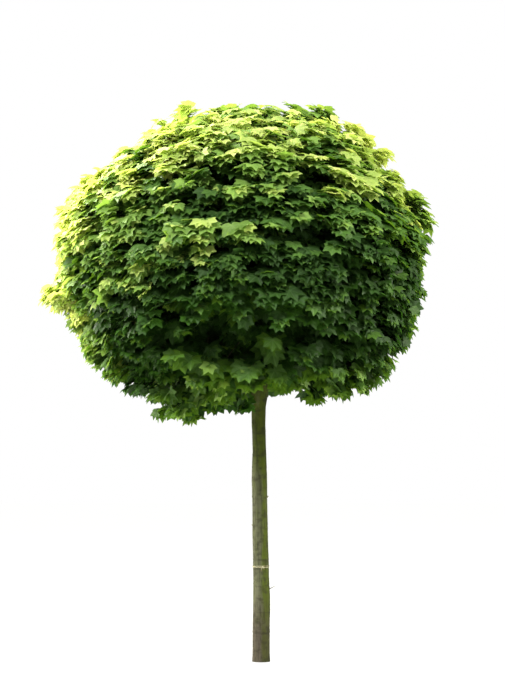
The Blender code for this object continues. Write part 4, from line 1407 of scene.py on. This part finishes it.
droop, fold = rng.uniform(*DROOP, len(junction)), rng.uniform(*FOLD, len(junction))
curl = rng.normal(0, CURL, len(junction))
from_stalk = np.linalg.norm(leaf_corners, axis=1)
ring_of_leaf = RING_OF[owner[spray_of_leaf]]


def make_leaves(name, chosen, kind, stands_for):
    """One piece of leaves: the modelled leaf copied to each chosen place, each copy bent its own way."""
    x, y = leaf_corners[None, :, 0], leaf_corners[None, :, 1]
    bent = -droop[chosen][:, None] * from_stalk**2 + fold[chosen][:, None] * np.abs(y)
    bent = bent + curl[chosen][:, None] * y * x - TIPS_DROOP * np.maximum(0, from_stalk - TIPS_FROM)
    on_axes = zip((ahead, across, face), (x, y, bent))
    blade = sum(axis[chosen][:, None] * share[..., None] for axis, share in on_axes)
    placed = junction[chosen][:, None] + size[chosen][:, None] * blade
    every = leaf_faces[None] + (np.arange(len(chosen)) * len(leaf_corners))[:, None, None]
    every = every.reshape(-1, 3)
    uv = np.tile(leaf_corners[:, :2], (len(chosen), 1))[every.ravel()]
    piece = mesh_from(name, placed.reshape(-1, 3), every, uv)
    return finish_piece(piece, name, leaf_finishes[kind], stands_for)


ring_nodes = {
    ring: [node for node, its_ring in zip(mass_nodes, RING_OF) if its_ring == ring] for ring in RINGS
}
total = 0
for ring, nodes in ring_nodes.items():
    for number, kind in enumerate(LEAF_KINDS):
        chosen = np.flatnonzero(kept & (ring_of_leaf == ring) & (leaf_colour == number))
        parts = max(1, math.ceil(len(chosen) / PIECE_MOST))
        for part, some in enumerate(np.array_split(chosen, parts)):
            if len(some):
                name = f"leaves_{ring}_{kind}" + (f"_{part + 1}" if parts > 1 else "")
                total += len(make_leaves(name, some, kind, nodes).data.polygons)
print("Leaves have", total, "triangles")

# %% A stalk for every leaf
STALK_RADIUS, STALK_SIDES = 0.0011, 3
UNDER_BLADE = 0.003  # how far a stalk runs on under its blade

for ring, nodes in ring_nodes.items():
    chosen = np.flatnonzero(kept & (ring_of_leaf == ring))
    lines = np.stack([node_place[chosen], junction[chosen] + ahead[chosen] * UNDER_BLADE], axis=1)
    stalk_radii = np.full(lines.shape[:2], STALK_RADIUS)
    stalks = along_lines(f"leaf_stalks_{ring}", lines, stalk_radii, STALK_SIDES)
    finish_piece(stalks, f"leaf_stalks_{ring}", stalk_finish, nodes)
    print(len(chosen), "stalks in the ring", ring)

# %% [markdown]
# ## The end
# The real tree and the plain one have the same reach. The last cell counts the dressed tree's pieces and
# faces.

# %% Counts, and the end
print(len(pieces), "pieces,", sum(len(piece.data.polygons) for piece in pieces), "faces")
